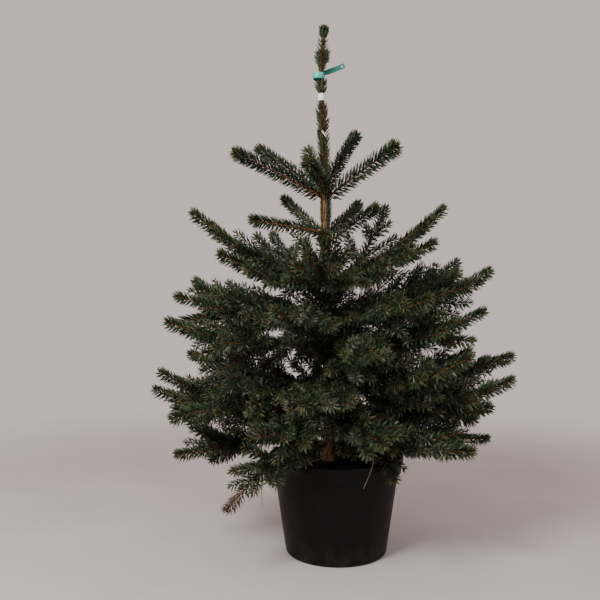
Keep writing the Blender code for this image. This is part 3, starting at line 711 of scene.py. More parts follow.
def clad(points, headings, length, radii, bare, density, lean, size, crowding, bunch, generator):
    """The needles of one shoot, leaning together in small clusters that stand in eight rows: those
    on top lie forward, those below stand out, and all close up and crowd at the tip."""
    grid = np.linspace(bare, length, 60)
    crowd = 1 + (crowding - 1) * np.exp(-(length - grid) / CROWDED_LENGTH)
    tally = np.concatenate([[0.0], np.cumsum((crowd[1:] + crowd[:-1]) / 2 * np.diff(grid))])
    count = int(tally[-1] * density)
    if count < 4:
        return None
    cluster = np.arange(count) // bunch
    clusters = cluster[-1] + 1
    drawn = (cluster + generator.uniform(0.30, 0.70, clusters)[cluster]) / clusters
    drawn = np.clip(drawn + generator.uniform(-0.16, 0.16, count) / clusters, 0.0, 1.0)
    place = np.interp(drawn * tally[-1], tally, grid)
    share = place / length * (len(points) - 1)
    low = np.minimum(share.astype(int), len(points) - 2)
    rest = (share - low)[:, None]
    root = points[low] * (1 - rest) + points[low + 1] * rest
    along = headings[low] * (1 - rest) + headings[low + 1] * rest
    along /= np.linalg.norm(along, axis=1)[:, None]
    side, over = cross_axes(along)
    turn = generator.uniform(0, math.tau) + cluster * ROW_TURN
    turn = turn + generator.normal(0, 0.10, clusters)[cluster] + generator.normal(0, 0.07, count)
    lean_top, lean_below = lean
    topness = (np.sin(turn) + 1) / 2
    angle = lean_below + (lean_top - lean_below) * topness
    angle = angle + generator.normal(0, 2.5, clusters)[cluster] + generator.normal(0, 3, count)
    to_tip = length - place
    tuft = np.clip(to_tip / TUFT_LENGTH, 0.0, 1.0)
    angle = np.radians(angle * (TUFT_CLOSING + (1 - TUFT_CLOSING) * tuft))
    spoke = side * np.cos(turn)[:, None] + over * np.sin(turn)[:, None]
    direction = along * np.cos(angle)[:, None] + spoke * np.sin(angle)[:, None]
    reach = size * generator.uniform(0.90, 1.06, count)
    reach = reach * (TUFT_SHORTENING + (1 - TUFT_SHORTENING) * tuft)
    girth = radii[0] + (radii[1] - radii[0]) * (place / length)
    root = root + spoke * girth[:, None] * 0.6
    bend = along * NEEDLE_CURVE
    bend[:, 2] += NEEDLE_CURVE * 0.4
    return Needles(root, direction, bend, reach, to_tip)


def blade_arrays(needles, roll):
    """Needles as slim blades folded along their midrib, their tips bent over."""
    root, direction, length = needles.root, needles.direction, needles.length[:, None]
    side, over = cross_axes(direction)
    across = side * np.cos(roll)[:, None] + over * np.sin(roll)[:, None]
    back = over * np.cos(roll)[:, None] - side * np.sin(roll)[:, None]
    middle = root + (direction + needles.bend * NEEDLE_BELLY ** 2) * length * NEEDLE_BELLY
    left = middle - across * (NEEDLE_WIDTH / 2) - back * NEEDLE_FOLD
    right = middle + across * (NEEDLE_WIDTH / 2) - back * NEEDLE_FOLD
    tip = root + (direction + needles.bend) * length
    points = np.stack([root, left, right, tip], axis=1).reshape(-1, 3)
    first = np.arange(len(root))[:, None] * 4
    faces = np.concatenate([first + (0, 2, 3), first + (0, 3, 1)], axis=1).reshape(-1, 3)
    return points, faces


def mesh_of(name, points, faces, shades, materials):
    """A mesh from arrays of points and triangles, with each triangle's material."""
    mesh = bpy.data.meshes.new(name)
    mesh.vertices.add(len(points))
    mesh.vertices.foreach_set("co", np.ascontiguousarray(points, np.float32).ravel())
    mesh.loops.add(faces.size)
    mesh.loops.foreach_set("vertex_index", np.ascontiguousarray(faces, np.int32).ravel())
    mesh.polygons.add(len(faces))
    mesh.polygons.foreach_set("loop_start", np.arange(0, faces.size, 3, dtype=np.int32))
    for material in materials:
        mesh.materials.append(material)
    mesh.polygons.foreach_set("material_index", np.ascontiguousarray(shades, np.int32))
    mesh.update(calc_edges=True)
    item = bpy.data.objects.new(name, mesh)
    bpy.context.scene.collection.objects.link(item)
    return item


def plain_material(name, colour, roughness):
    material = bpy.data.materials.new(name)
    material.use_nodes = True
    shader = material.node_tree.nodes["Principled BSDF"]
    shader.inputs["Base Color"].default_value = (*colour, 1.0)
    shader.inputs["Roughness"].default_value = roughness
    shader.inputs["Specular IOR Level"].default_value = 0.15
    return material


def needle_shade(shoot, generator):
    """Which needle colour a spray takes: deeper far inside, fresher out at the tips."""
    draw = generator.random()
    if shoot.order == 0 or shoot.age >= 3:
        return DEEP if draw < 0.45 else DARK
    if draw < 0.46:
        return DARK
    if draw < 0.60:
        return DEEP
    return GREY if draw < 0.78 else MID


def needle_scale(branch):
    """How long a branch's needles are beside the usual: its own scale, or that of its whorl."""
    return LONG_NEEDLED.get(branch.name, LONG_NEEDLED.get(branch.tier, 1.0))


def spray_shades(count, shade, bunch, generator):
    """The shades of a spray's needles: its own, with a paler cluster here and there for waxy lines and
    painted glints, and a deeper one as painted shade between the needles.
    """
    cluster = np.arange(count) // bunch
    draw = generator.random(count // bunch + 1)[cluster]
    return np.where(draw < PALE_GLINT_SHARE, GREY, np.where(draw > 1 - DEEP_SHADE_SHARE, DEEP, shade))


def build_needles(name, shoots, materials, nodes):
    """The needles of a tier's shoots in one mesh."""
    generator = np.random.default_rng(len(shoots) + sum(map(ord, name)))
    clads, shades = [], []
    for shoot in shoots:
        points, headings = sampled(shoot, max(4, int(shoot.length / 0.02)))
        size = NEEDLE_LENGTHS[shoot.order] * generator.uniform(0.93, 1.05)
        size *= needle_scale(shoot.branch) if shoot.branch else 1.0
        lean_top = TOP_LEAN.get(shoot.branch.tier, NEEDLE_LEAN[0]) if shoot.branch else 45.0
        thick = THICK_TIERS.get(shoot.branch.tier, 1.0) if shoot.branch else 1.0
        own_shade = needle_shade(shoot, generator)
        bunch = CLUSTER_SIZES[shoot.order]
        coats = (OUTER_COAT[shoot.order], 1.0), (INNER_COAT[shoot.order], INNER_LENGTH)
        for density, share in coats:
            needles = clad(
                points, headings, shoot.length, shoot.radii, shoot.bare, density * thick,
                (lean_top, NEEDLE_LEAN[1]), size * share, TIP_CROWDING[min(shoot.order, 2)],
                bunch, generator)
            if needles is None:
                continue
            held = needles.root[:, 2] > LOWEST_TIP
            held |= generator.random(len(held)) < HANGING_NEEDLES
            needles = Needles(*(part[held] for part in needles))
            clads.append(needles)
            # The inner coat is dealt deep green throughout, as painted shade near the stem
            shade = np.full(len(needles.length), DEEP)
            if share == 1.0:
                shade = spray_shades(len(shade), own_shade, bunch, generator)
            olive_share = 0.38 if shoot.order < 2 else 0.10
            fresh = (needles.to_tip < OLIVE_LENGTH) & (generator.random(len(shade)) < olive_share)
            shade[fresh] = OLIVE
            shade[needles.root[:, 2] < LOWEST_TIP] = BROWN
            shades.append(shade)
    add_needle_piece(name, clads, np.concatenate(shades), generator, materials, nodes)


def add_needle_piece(name, clads, shades, generator, materials, nodes):
    needles = Needles(*(np.concatenate(part) for part in zip(*clads)))
    roll = generator.uniform(0, math.tau, len(needles.length))
    points, faces = blade_arrays(needles, roll)
    item = mesh_of(name, points, faces, np.repeat(shades, 2), materials)
    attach(item, "root")
    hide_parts(*nodes)
    return item


def tube_arrays(shoot, sides):
    """A tapering tube along a shoot, closed flat at its root and with a bud at its tip."""
    steps = max(3, int(shoot.length / 0.022))
    points, headings = sampled(shoot, steps)
    start, end = shoot.radii
    radii = start + (end - start) * np.linspace(0, 1, steps + 1)
    bud = BUD_RADIUS * (1.25 if shoot.order == 0 else 1.0)
    bud_places = np.array([0.001, 0.0035, 0.0065])
    points = np.concatenate([points, points[-1] + headings[-1] * bud_places[:, None]])
    headings = np.concatenate([headings, np.repeat(headings[-1:], 3, axis=0)])
    radii = np.concatenate([radii, [bud * 0.9, bud, bud * 0.7]])
    side, over = cross_axes(headings)
    turns = math.tau * np.arange(sides) / sides
    spokes = (
        side[:, None, :] * np.cos(turns)[None, :, None]
        + over[:, None, :] * np.sin(turns)[None, :, None])
    rings = points[:, None, :] + spokes * radii[:, None, None]
    tip = points[-1] + headings[-1] * bud
    vertices = np.concatenate([rings.reshape(-1, 3), tip[None, :], points[:1]])
    stretches = len(points) - 1
    corner = np.arange(sides)
    beside = (corner + 1) % sides
    row = np.arange(stretches)[:, None] * sides
    low, next_low = (row + corner).ravel(), (row + beside).ravel()
    last = stretches * sides
    peak, foot = np.full(sides, len(vertices) - 2), np.full(sides, len(vertices) - 1)
    faces = np.concatenate([
        np.stack([low, next_low, next_low + sides], axis=1),
        np.stack([low, next_low + sides, low + sides], axis=1),
        np.stack([last + corner, last + beside, peak], axis=1),
        np.stack([beside, corner, foot], axis=1)])
    of_bud = (faces >= (steps + 1) * sides).all(axis=1) & (faces < len(vertices) - 1).all(axis=1)
    return vertices, faces, of_bud


def build_twigs(name, shoots, materials, nodes):
    vertices, faces, shades, count = [], [], [], 0
    for shoot in shoots:
        sides = 8 if shoot.order == 0 else 5 if shoot.order == 1 else 4
        part_vertices, part_faces, of_bud = tube_arrays(shoot, sides)
        vertices.append(part_vertices)
        faces.append(part_faces + count)
        young = shoot.age <= 1 or bool(shoot.branch and shoot.branch.tier in YOUNG_TIERS)
        old = DULL if shoot.order == 0 else RED
        rings = (len(part_vertices) - 2) // sides
        outer = part_faces.min(axis=1) // sides > rings * YOUNG_WOOD
        shade = np.where(outer | young, ORANGE, old)
        shades.append(np.where(of_bud, BUD, shade))
        count += len(part_vertices)
    item = mesh_of(
        name, np.concatenate(vertices), np.concatenate(faces), np.concatenate(shades), materials)
    item.data.shade_smooth()
    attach(item, "root")
    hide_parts(*nodes)
    return item


def trunk_needles(foot, top, density, lean, size, generator):
    """Needles that stand on the trunk itself between two heights."""
    heights = np.linspace(foot, top, 40)
    centres = [trunk_at(height) for height in heights]
    points = np.array([centre for centre, _ in centres])
    headings = np.gradient(points, axis=0)
    headings /= np.linalg.norm(headings, axis=1)[:, None]
    length = float(np.linalg.norm(np.diff(points, axis=0), axis=1).sum())
    radii = (centres[0][1], centres[-1][1])
    needles = clad(
        points, headings, length + TUFT_LENGTH, radii, 0.0, density, (lean, lean + 5.0), size,
        1.0, CLUSTER_SIZES[-1], generator)
    return needles


def build_leader_needles(materials):
    """The needles pressed upwards round the top of the trunk, and the few left below them."""
    generator = np.random.default_rng(11)
    clads = [trunk_needles(*stretch, generator) for stretch in LEADER_STRETCHES]
    for stretch in TRUNK_STRETCHES:
        needles = trunk_needles(*stretch, generator)
        shaded = (needles.direction[:, 0] > 0.12) | (needles.direction[:, 1] > 0.1)
        shaded |= (needles.direction[:, 0] < -0.30) & (needles.length < BROAD_NEEDLE)
        clads.append(Needles(*(part[shaded] for part in needles)))
    direction = np.concatenate([needles.direction for needles in clads])
    height = np.concatenate([needles.root[:, 2] for needles in clads])
    # Below the leader's foot, needles to the left and front are dealt olive and brown as painted light
    # on the trunk's lit side; those to the right and back stay green
    green = (np.abs(direction[:, 0]) > 0.36) | (height > LEADER_TOP_TUFT) | (height < LEADER_FOOT)
    green &= (direction[:, 0] > 0) | (height > LEADER_FOOT) | (direction[:, 1] > 0.5)
    green_shades = generator.choice([DARK, DEEP, MID, GREY], len(height), p=[0.4, 0.3, 0.15, 0.15])
    brown_shades = generator.choice([OLIVE, BROWN, DARK], len(height), p=[0.38, 0.40, 0.22])
    shades = np.where(green, green_shades, brown_shades)
    add_needle_piece("leader_sprays", clads, shades, generator, materials, ["leader_needles"])


def new_group(name, inputs, outputs):
    """A shader node group with named sockets, and the nodes at its two ends."""
    group = bpy.data.node_groups.new(name, "ShaderNodeTree")
    for label, kind, value in inputs:
        socket = group.interface.new_socket(name=label, in_out="INPUT", socket_type=kind)
        socket.default_value = value
    for label, kind in outputs:
        group.interface.new_socket(name=label, in_out="OUTPUT", socket_type=kind)
    return group, group.nodes.new("NodeGroupInput"), group.nodes.new("NodeGroupOutput")


def stretched_place(group, start):
    """The piece's own coordinates, times the group's Stretch."""
    place = group.nodes.new("ShaderNodeTexCoord")
    stretch = group.nodes.new("ShaderNodeVectorMath")
    stretch.operation = "MULTIPLY"
    group.links.new(place.outputs["Object"], stretch.inputs[0])
    group.links.new(start.outputs["Stretch"], stretch.inputs[1])
    return stretch.outputs["Vector"]


def grain_group():
    """Irregular patches and specks that run from a dark colour to a light one."""
    group, start, end = new_group("grain", (
        ("Scale", FLOAT, 40.0), ("Stretch", VECTOR, (1.0, 1.0, 1.0)), ("Low", FLOAT, 0.35),
        ("High", FLOAT, 0.65), ("Dark", COLOUR, (0.1, 0.1, 0.1, 1.0)),
        ("Light", COLOUR, (0.5, 0.5, 0.5, 1.0))), (("Color", COLOUR), ("Mask", FLOAT)))
    speckle = group.nodes.new("ShaderNodeTexNoise")
    speckle.inputs["Detail"].default_value = 7.0
    speckle.inputs["Roughness"].default_value = 0.62
    edge = group.nodes.new("ShaderNodeMapRange")
    blend = group.nodes.new("ShaderNodeMix")
    blend.data_type = "RGBA"
    group.links.new(stretched_place(group, start), speckle.inputs["Vector"])
    group.links.new(start.outputs["Scale"], speckle.inputs["Scale"])
    group.links.new(speckle.outputs["Fac"], edge.inputs["Value"])
    group.links.new(start.outputs["Low"], edge.inputs["From Min"])
    group.links.new(start.outputs["High"], edge.inputs["From Max"])
    group.links.new(edge.outputs["Result"], blend.inputs[MIX_FACTOR])
    group.links.new(start.outputs["Dark"], blend.inputs[MIX_FIRST])
    group.links.new(start.outputs["Light"], blend.inputs[MIX_SECOND])
    group.links.new(blend.outputs[MIX_RESULT], end.inputs["Color"])
    group.links.new(edge.outputs["Result"], end.inputs["Mask"])
    return group


def flakes_group():
    """Plates with grooves between them: a mask that is 0 in the grooves, and a height."""
    group, start, end = new_group("flakes", (
        ("Scale", FLOAT, 100.0), ("Stretch", VECTOR, (1.0, 1.0, 0.4)), ("Groove", FLOAT, 0.12),
        ("Warp", FLOAT, 0.006)), (("Mask", FLOAT), ("Height", FLOAT)))
    place = stretched_place(group, start)
    wander = group.nodes.new("ShaderNodeTexNoise")
    wander.inputs["Scale"].default_value = 90.0
    wander.inputs["Detail"].default_value = 4.0
    warp = group.nodes.new("ShaderNodeVectorMath")
    warp.operation = "MULTIPLY_ADD"
    spread = group.nodes.new("ShaderNodeCombineXYZ")
    plates = group.nodes.new("ShaderNodeTexVoronoi")
    plates.feature = "DISTANCE_TO_EDGE"
    edge = group.nodes.new("ShaderNodeMapRange")
    edge.interpolation_type = "SMOOTHSTEP"
    rough = group.nodes.new("ShaderNodeMath")
    rough.operation = "MULTIPLY_ADD"
    rough.inputs[1].default_value = 0.55
    group.links.new(place, wander.inputs["Vector"])
    for axis in ("X", "Y", "Z"):
        group.links.new(start.outputs["Warp"], spread.inputs[axis])
    group.links.new(wander.outputs["Color"], warp.inputs[0])
    group.links.new(spread.outputs["Vector"], warp.inputs[1])
    group.links.new(place, warp.inputs[2])
    group.links.new(warp.outputs["Vector"], plates.inputs["Vector"])
    group.links.new(start.outputs["Scale"], plates.inputs["Scale"])
    group.links.new(plates.outputs["Distance"], edge.inputs["Value"])
    group.links.new(start.outputs["Groove"], edge.inputs["From Max"])
    group.links.new(wander.outputs["Fac"], rough.inputs[0])
    group.links.new(edge.outputs["Result"], rough.inputs[2])
    group.links.new(edge.outputs["Result"], end.inputs["Mask"])
    group.links.new(rough.outputs["Value"], end.inputs["Height"])
    return group


def dust_group():
    """Dust in patches that thin out from the foot of a piece upwards."""
    group, start, end = new_group("dust", (
        ("Scale", FLOAT, 30.0), ("Stretch", VECTOR, (1.0, 1.0, 1.0)), ("Foot", FLOAT, 0.0),
        ("Reach", FLOAT, 0.1), ("Amount", FLOAT, 0.5)), (("Mask", FLOAT),))
    place = group.nodes.new("ShaderNodeTexCoord")
    split = group.nodes.new("ShaderNodeSeparateXYZ")
    rise = group.nodes.new("ShaderNodeMath")
    rise.operation = "SUBTRACT"
    share = group.nodes.new("ShaderNodeMath")
    share.operation = "DIVIDE"
    fade = group.nodes.new("ShaderNodeMapRange")
    fade.interpolation_type = "SMOOTHSTEP"
    fade.inputs["To Min"].default_value = 1.0
    fade.inputs["To Max"].default_value = 0.0
    cloud = group.nodes.new("ShaderNodeTexNoise")
    cloud.inputs["Detail"].default_value = 5.0
    patch = group.nodes.new("ShaderNodeMapRange")
    patch.inputs["From Min"].default_value = 0.42
    patch.inputs["From Max"].default_value = 0.70
    both = group.nodes.new("ShaderNodeMath")
    both.operation = "MULTIPLY"
    scaled = group.nodes.new("ShaderNodeMath")
    scaled.operation = "MULTIPLY"
    group.links.new(place.outputs["Object"], split.inputs["Vector"])
    group.links.new(split.outputs["Z"], rise.inputs[0])
    group.links.new(start.outputs["Foot"], rise.inputs[1])
    group.links.new(rise.outputs["Value"], share.inputs[0])
    group.links.new(start.outputs["Reach"], share.inputs[1])
    group.links.new(share.outputs["Value"], fade.inputs["Value"])
    group.links.new(stretched_place(group, start), cloud.inputs["Vector"])
    group.links.new(start.outputs["Scale"], cloud.inputs["Scale"])
    group.links.new(cloud.outputs["Fac"], patch.inputs["Value"])
    group.links.new(patch.outputs["Result"], both.inputs[0])
    group.links.new(fade.outputs["Result"], both.inputs[1])
    group.links.new(both.outputs["Value"], scaled.inputs[0])
    group.links.new(start.outputs["Amount"], scaled.inputs[1])
    group.links.new(scaled.outputs["Value"], end.inputs["Mask"])
    return group


def new_material(name, roughness, specular):
    material = bpy.data.materials.new(name)
    material.use_nodes = True
    shader = material.node_tree.nodes["Principled BSDF"]
    shader.inputs["Roughness"].default_value = roughness
    shader.inputs["Specular IOR Level"].default_value = specular
    return material, material.node_tree, shader


def placed(tree, group, **values):
    """A node that holds a group, with its own values."""
    node = tree.nodes.new("ShaderNodeGroup")
    node.node_tree = group
    for label, value in values.items():
        node.inputs[label].default_value = (*value, 1.0) if label in ("Dark", "Light") else value
    return node


def blended(tree, factor, first, second, mode="MIX"):
    """A colour mixed by a mask: each side is a colour's values or another node's output."""
    blend = tree.nodes.new("ShaderNodeMix")
    blend.data_type = "RGBA"
    blend.blend_type = mode
    for place, value in ((MIX_FACTOR, factor), (MIX_FIRST, first), (MIX_SECOND, second)):
        if isinstance(value, bpy.types.NodeSocket):
            tree.links.new(value, blend.inputs[place])
        else:
            blend.inputs[place].default_value = (*value, 1.0) if place != MIX_FACTOR else value
    return blend.outputs[MIX_RESULT]


def raised(tree, shader, height, strength, distance):
    """Relief from a height, into the shader's normal."""
    relief = tree.nodes.new("ShaderNodeBump")
    relief.inputs["Strength"].default_value = strength
    relief.inputs["Distance"].default_value = distance
    tree.links.new(height, relief.inputs["Height"])
    tree.links.new(relief.outputs["Normal"], shader.inputs["Normal"])


def ranged(tree, mask, low, high):
    """A value that runs from low to high with a mask."""
    spread = tree.nodes.new("ShaderNodeMapRange")
    spread.inputs["To Min"].default_value = low
    spread.inputs["To Max"].default_value = high
    tree.links.new(mask, spread.inputs["Value"])
    return spread.outputs["Result"]


def trunk_bark_material(grain, flakes):
    """Flaky bark: dark grey-brown low down, darkened with painted shade under the crown, tan between
    the upper whorls, olive on the leader.
    """
    material, tree, shader = new_material("trunk_bark", 0.85, 0.25)
    place = tree.nodes.new("ShaderNodeTexCoord")
    split = tree.nodes.new("ShaderNodeSeparateXYZ")
    rise = tree.nodes.new("ShaderNodeMapRange")
    rise.inputs["From Max"].default_value = TRUNK_COURSE[-1][0]
    zones = tree.nodes.new("ShaderNodeValToRGB")
    stops = zones.color_ramp.elements
    while len(stops) < len(BARK_ZONES_WITH_SHADE):
        stops.new(1.0)
    for stop, (height, colour) in zip(stops, BARK_ZONES_WITH_SHADE):
        stop.position = height / TRUNK_COURSE[-1][0]
        stop.color = (*colour, 1.0)
    tree.links.new(place.outputs["Object"], split.inputs["Vector"])
    tree.links.new(split.outputs["Z"], rise.inputs["Value"])
    tree.links.new(rise.outputs["Result"], zones.inputs["Fac"])
    specks = placed(
        tree, grain, Scale=70.0, Stretch=(1.0, 1.0, 0.45), Low=0.34, High=0.66,
        Dark=(0.46, 0.40, 0.36), Light=(1.25, 1.20, 1.10))
    plates = placed(
        tree, flakes, Scale=95.0, Stretch=(1.0, 1.0, 0.34), Groove=0.16, Warp=0.010)
    speckled = blended(tree, 1.0, zones.outputs["Color"], specks.outputs["Color"], "MULTIPLY")
    grooved = blended(tree, plates.outputs["Mask"], BARK_GROOVE, speckled)
    tree.links.new(grooved, shader.inputs["Base Color"])
    raised(tree, shader, plates.outputs["Height"], 0.9, 0.0018)
    return material


def bough_bark_material(grain, flakes):
    """Dull brown bark of the main boughs, finely scaled."""
    material, tree, shader = new_material("bough_bark", 0.88, 0.20)
    specks = placed(
        tree, grain, Scale=120.0, Stretch=(1.0, 1.0, 1.0), Low=0.34, High=0.68,
        Dark=(0.020, 0.014, 0.010), Light=(0.085, 0.052, 0.032))
    plates = placed(
        tree, flakes, Scale=190.0, Stretch=(0.5, 0.5, 1.0), Groove=0.14, Warp=0.008)
    grooved = blended(tree, plates.outputs["Mask"], BARK_GROOVE, specks.outputs["Color"])
    tree.links.new(grooved, shader.inputs["Base Color"])
    raised(tree, shader, plates.outputs["Height"], 0.8, 0.0010)
    return material


def pot_plastic_material(grain, dust):
    """Black satin plastic, with dry earth rubbed on near the foot."""
    material, tree, shader = new_material("pot_plastic", 0.45, 0.10)
    mottle = placed(
        tree, grain, Scale=26.0, Stretch=(1.0, 1.0, 0.6), Low=0.30, High=0.72,
        Dark=(0.0036, 0.0036, 0.0038), Light=(0.0062, 0.0060, 0.0060))
    earth = placed(
        tree, dust, Scale=24.0, Stretch=(1.0, 1.0, 0.8), Foot=0.0, Reach=0.095, Amount=0.55)
    coloured = blended(tree, earth.outputs["Mask"], mottle.outputs["Color"], POT_DUST)
    tree.links.new(coloured, shader.inputs["Base Color"])
    tree.links.new(ranged(tree, mottle.outputs["Mask"], 0.38, 0.56), shader.inputs["Roughness"])
    fine = placed(
        tree, grain, Scale=420.0, Stretch=(1.0, 1.0, 1.0), Low=0.2, High=0.8,
        Dark=(0.0, 0.0, 0.0), Light=(1.0, 1.0, 1.0))
    raised(tree, shader, fine.outputs["Mask"], 0.12, 0.0004)
    return material


def soil_material(grain, flakes):
    """Dark crumbly potting soil with paler fibres."""
    material, tree, shader = new_material("potting_soil", 0.95, 0.15)
    crumbs = placed(
        tree, grain, Scale=130.0, Stretch=(1.0, 1.0, 1.0), Low=0.36, High=0.74,
        Dark=(0.008, 0.006, 0.004), Light=(0.050, 0.034, 0.022))
    clods = placed(
        tree, flakes, Scale=120.0, Stretch=(1.0, 1.0, 1.0), Groove=0.20, Warp=0.012)
    shaded = blended(tree, clods.outputs["Mask"], SOIL_SHADE, crumbs.outputs["Color"])
    tree.links.new(shaded, shader.inputs["Base Color"])
    raised(tree, shader, clods.outputs["Height"], 1.0, 0.0030)
    return material


def paper_material(grain, dust):
    """White paper, a little soiled."""
    material, tree, shader = new_material("band_paper", 0.65, 0.30)
    fibres = placed(
        tree, grain, Scale=240.0, Stretch=(1.0, 1.0, 0.3), Low=0.30, High=0.70,
        Dark=(0.66, 0.67, 0.70), Light=(0.80, 0.81, 0.84))
    soiled = placed(
        tree, dust, Scale=160.0, Stretch=(1.0, 1.0, 1.0), Foot=BAND_HEIGHT - BAND_WIDTH / 2,
        Reach=BAND_WIDTH, Amount=0.35)
    shaded = blended(tree, soiled.outputs["Mask"], fibres.outputs["Color"], PAPER_SOIL)
    tree.links.new(shaded, shader.inputs["Base Color"])
    raised(tree, shader, fibres.outputs["Mask"], 0.25, 0.0003)
    return material


def tie_material(grain, name, dark, light):
    """Soft teal plastic with faint stress marks."""
    material, tree, shader = new_material(name, 0.34, 0.35)
    marks = placed(
        tree, grain, Scale=110.0, Stretch=(0.4, 1.0, 1.0), Low=0.30, High=0.75,
        Dark=dark, Light=light)
    tree.links.new(marks.outputs["Color"], shader.inputs["Base Color"])
    tree.links.new(ranged(tree, marks.outputs["Mask"], 0.28, 0.44), shader.inputs["Roughness"])
    return material


def dry_wood_material(grain, name, dark, light):
    """Pale dead wood, split along its length."""
    material, tree, shader = new_material(name, 0.80, 0.20)
    streaks = placed(
        tree, grain, Scale=300.0, Stretch=(1.0, 1.0, 0.5), Low=0.30, High=0.70,
        Dark=dark, Light=light)
    tree.links.new(streaks.outputs["Color"], shader.inputs["Base Color"])
    raised(tree, shader, streaks.outputs["Mask"], 0.5, 0.0004)
    return material


def floor_material(grain):
    """Pale floor that fades out evenly all round, so that it meets its surroundings unseen."""
    material, tree, shader = new_material("pale_floor", 0.80, 0.20)
    patches = placed(
        tree, grain, Scale=2.4, Stretch=(1.0, 1.0, 1.0), Low=0.30, High=0.70,
        Dark=FLOOR_DARK, Light=FLOOR_LIGHT)
    tree.links.new(patches.outputs["Color"], shader.inputs["Base Color"])
    place = tree.nodes.new("ShaderNodeTexCoord")
    far = tree.nodes.new("ShaderNodeVectorMath")
    far.operation = "LENGTH"
    fade = tree.nodes.new("ShaderNodeMapRange")
    fade.interpolation_type = "SMOOTHSTEP"
    fade.inputs["From Min"].default_value = FLOOR_FULL
    fade.inputs["From Max"].default_value = FLOOR_RADIUS
    fade.inputs["To Min"].default_value = 1.0
    fade.inputs["To Max"].default_value = 0.0
    tree.links.new(place.outputs["Object"], far.inputs[0])
    tree.links.new(far.outputs["Value"], fade.inputs["Value"])
    tree.links.new(fade.outputs["Result"], shader.inputs["Alpha"])
    return material


def build_materials():
    grain, flakes, dust = grain_group(), flakes_group(), dust_group()
    return {
        "trunk": trunk_bark_material(grain, flakes),
        "bough": bough_bark_material(grain, flakes),
        "pot": pot_plastic_material(grain, dust),
        "soil": soil_material(grain, flakes),
        "band": paper_material(grain, dust),
        "tie_loop": tie_material(grain, "tie_plastic", *TIE_COLOURS),
        # The tail takes a darker copy of the loop's plastic: painted shade
        "tie_tail": tie_material(grain, "tie_plastic_doubled", *TAIL_SHADED_COLOURS),
        "dry_wood": dry_wood_material(grain, "dry_wood", *DRY_WOOD_COLOURS),
        "dry_husk": dry_wood_material(grain, "dry_husk", *HUSK_COLOURS),
        "floor": floor_material(grain),
    }


def add_piece(name, bm, material, nodes):
    """Turn a bmesh into a finished piece that rides on the plant and stands for its nodes."""
    bmesh.ops.recalc_face_normals(bm, faces=bm.faces)
    mesh = bpy.data.meshes.new(name)
    bm.to_mesh(mesh)
    bm.free()
    mesh.shade_smooth()
    mesh.set_sharp_from_angle(angle=SHARP_EDGE)
    mesh.materials.append(material)
    item = bpy.data.objects.new(name, mesh)
    bpy.context.scene.collection.objects.link(item)
    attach(item, "root")
    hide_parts(*nodes)
    return item


def extrude_to(bm, cap, ring):
    """Extrude an end face to a further ring of points and return the new end face."""
    inner = any(len(edge.link_faces) > 1 for edge in cap.edges)
    grown = bmesh.ops.extrude_face_region(bm, geom=[cap])["geom"]
    new_cap = next(part for part in grown if isinstance(part, bmesh.types.BMFace))
    if inner:
        bm.faces.remove(cap)
    for corner, point in zip(new_cap.verts, ring):
        corner.co = point
    return new_cap


def ring_loft(rings, rounding=0.0):
    """A closed limb whose cross-section is extruded from ring to ring, its end drawn to a point."""
    bm = bmesh.new()
    cap = bm.faces.new([bm.verts.new(point) for point in rings[0]])
    for ring in rings[1:]:
        cap = extrude_to(bm, cap, ring)
    if rounding:
        heading = cap.calc_center_median() - sum(rings[-2], Vector()) / len(rings[-2])
        peak = bmesh.ops.poke(bm, faces=[cap])["verts"][0]
        peak.co += heading.normalized() * rounding
    return bm


def bark_relief(point, scale, depth):
    """How far the bark's plates and pits stand out at a point."""
    stretched = Vector((point.x, point.y, point.z * 0.45))
    return depth * noise.fractal(stretched * scale, 0.7, 2.1, 4)


def build_trunk(material):
    """The trunk with lobed flare, swollen whorls and the relief of its bark."""
    foot, tip = TRUNK_COURSE[0][0], TRUNK_COURSE[-1][0]
    steps = round((tip - foot) / BARK_RING_STEP)
    rings = []
    for step in range(steps + 1):
        height = foot + (tip - foot) * step / steps
        x, y, radius = smooth_course(min(height, tip - 0.0001))
        flare = TRUNK_FLARE * math.exp(-(height - foot) / FLARE_HEIGHT)
        swell = sum(
            WHORL_SWELL * math.exp(-((height - tier.height) / WHORL_SWELL_HEIGHT) ** 2)
            for tier in TIERS)
        centre = Vector((x, y, height if step else height - TRUNK_SUNK))
        ring = []
        for side in range(BARK_SIDES):
            angle = math.tau * side / BARK_SIDES
            spoke = Vector((math.cos(angle), math.sin(angle), 0))
            lobed = flare * (1 + FLARE_LOBE_DEPTH * math.cos(FLARE_LOBES * angle))
            point = centre + spoke * (radius + swell + lobed)
            ring.append(point + spoke * bark_relief(point, 75.0, BARK_RELIEF * radius / 0.012))
        rings.append(ring)
    bm = ring_loft(rings, TRUNK_BUD)
    return add_piece("trunk_with_bark", bm, material, ["trunk"])


def build_bough(branch, material):
    """A bare bough with its collar sunk into the trunk and the relief of its bark."""
    length = (branch_point(branch, branch.share) - branch_point(branch, 0.0)).length
    steps = round(length / BARK_RING_STEP)
    outward = branch_outward(branch)
    rings = []
    for step in range(-1, steps + 1):
        t = branch.share * max(step, 0) / steps
        centre = branch_point(branch, t)
        heading = outward if step <= 0 else heading_at(lambda s: branch_point(branch, s), t)
        if step < 0:
            centre = centre - outward * COLLAR_SUNK
        side = Vector((0, 0, 1)).cross(heading).normalized()
        over = heading.cross(side)
        swell = 1 + (BOUGH_SWELL - 1) * math.exp(-max(step, 0) * BARK_RING_STEP / 0.014)
        girth = branch_girth(branch, t) * swell
        ring = []
        for corner in range(BOUGH_SIDES):
            angle = math.tau * corner / BOUGH_SIDES
            spoke = side * math.cos(angle) + over * math.sin(angle)
            point = centre + spoke * girth
            ring.append(point + spoke * bark_relief(point, 110.0, BOUGH_RELIEF))
        rings.append(ring)
    bm = ring_loft(rings)
    return add_piece("bough_bark_" + branch.name, bm, material, ["bough_" + branch.name])


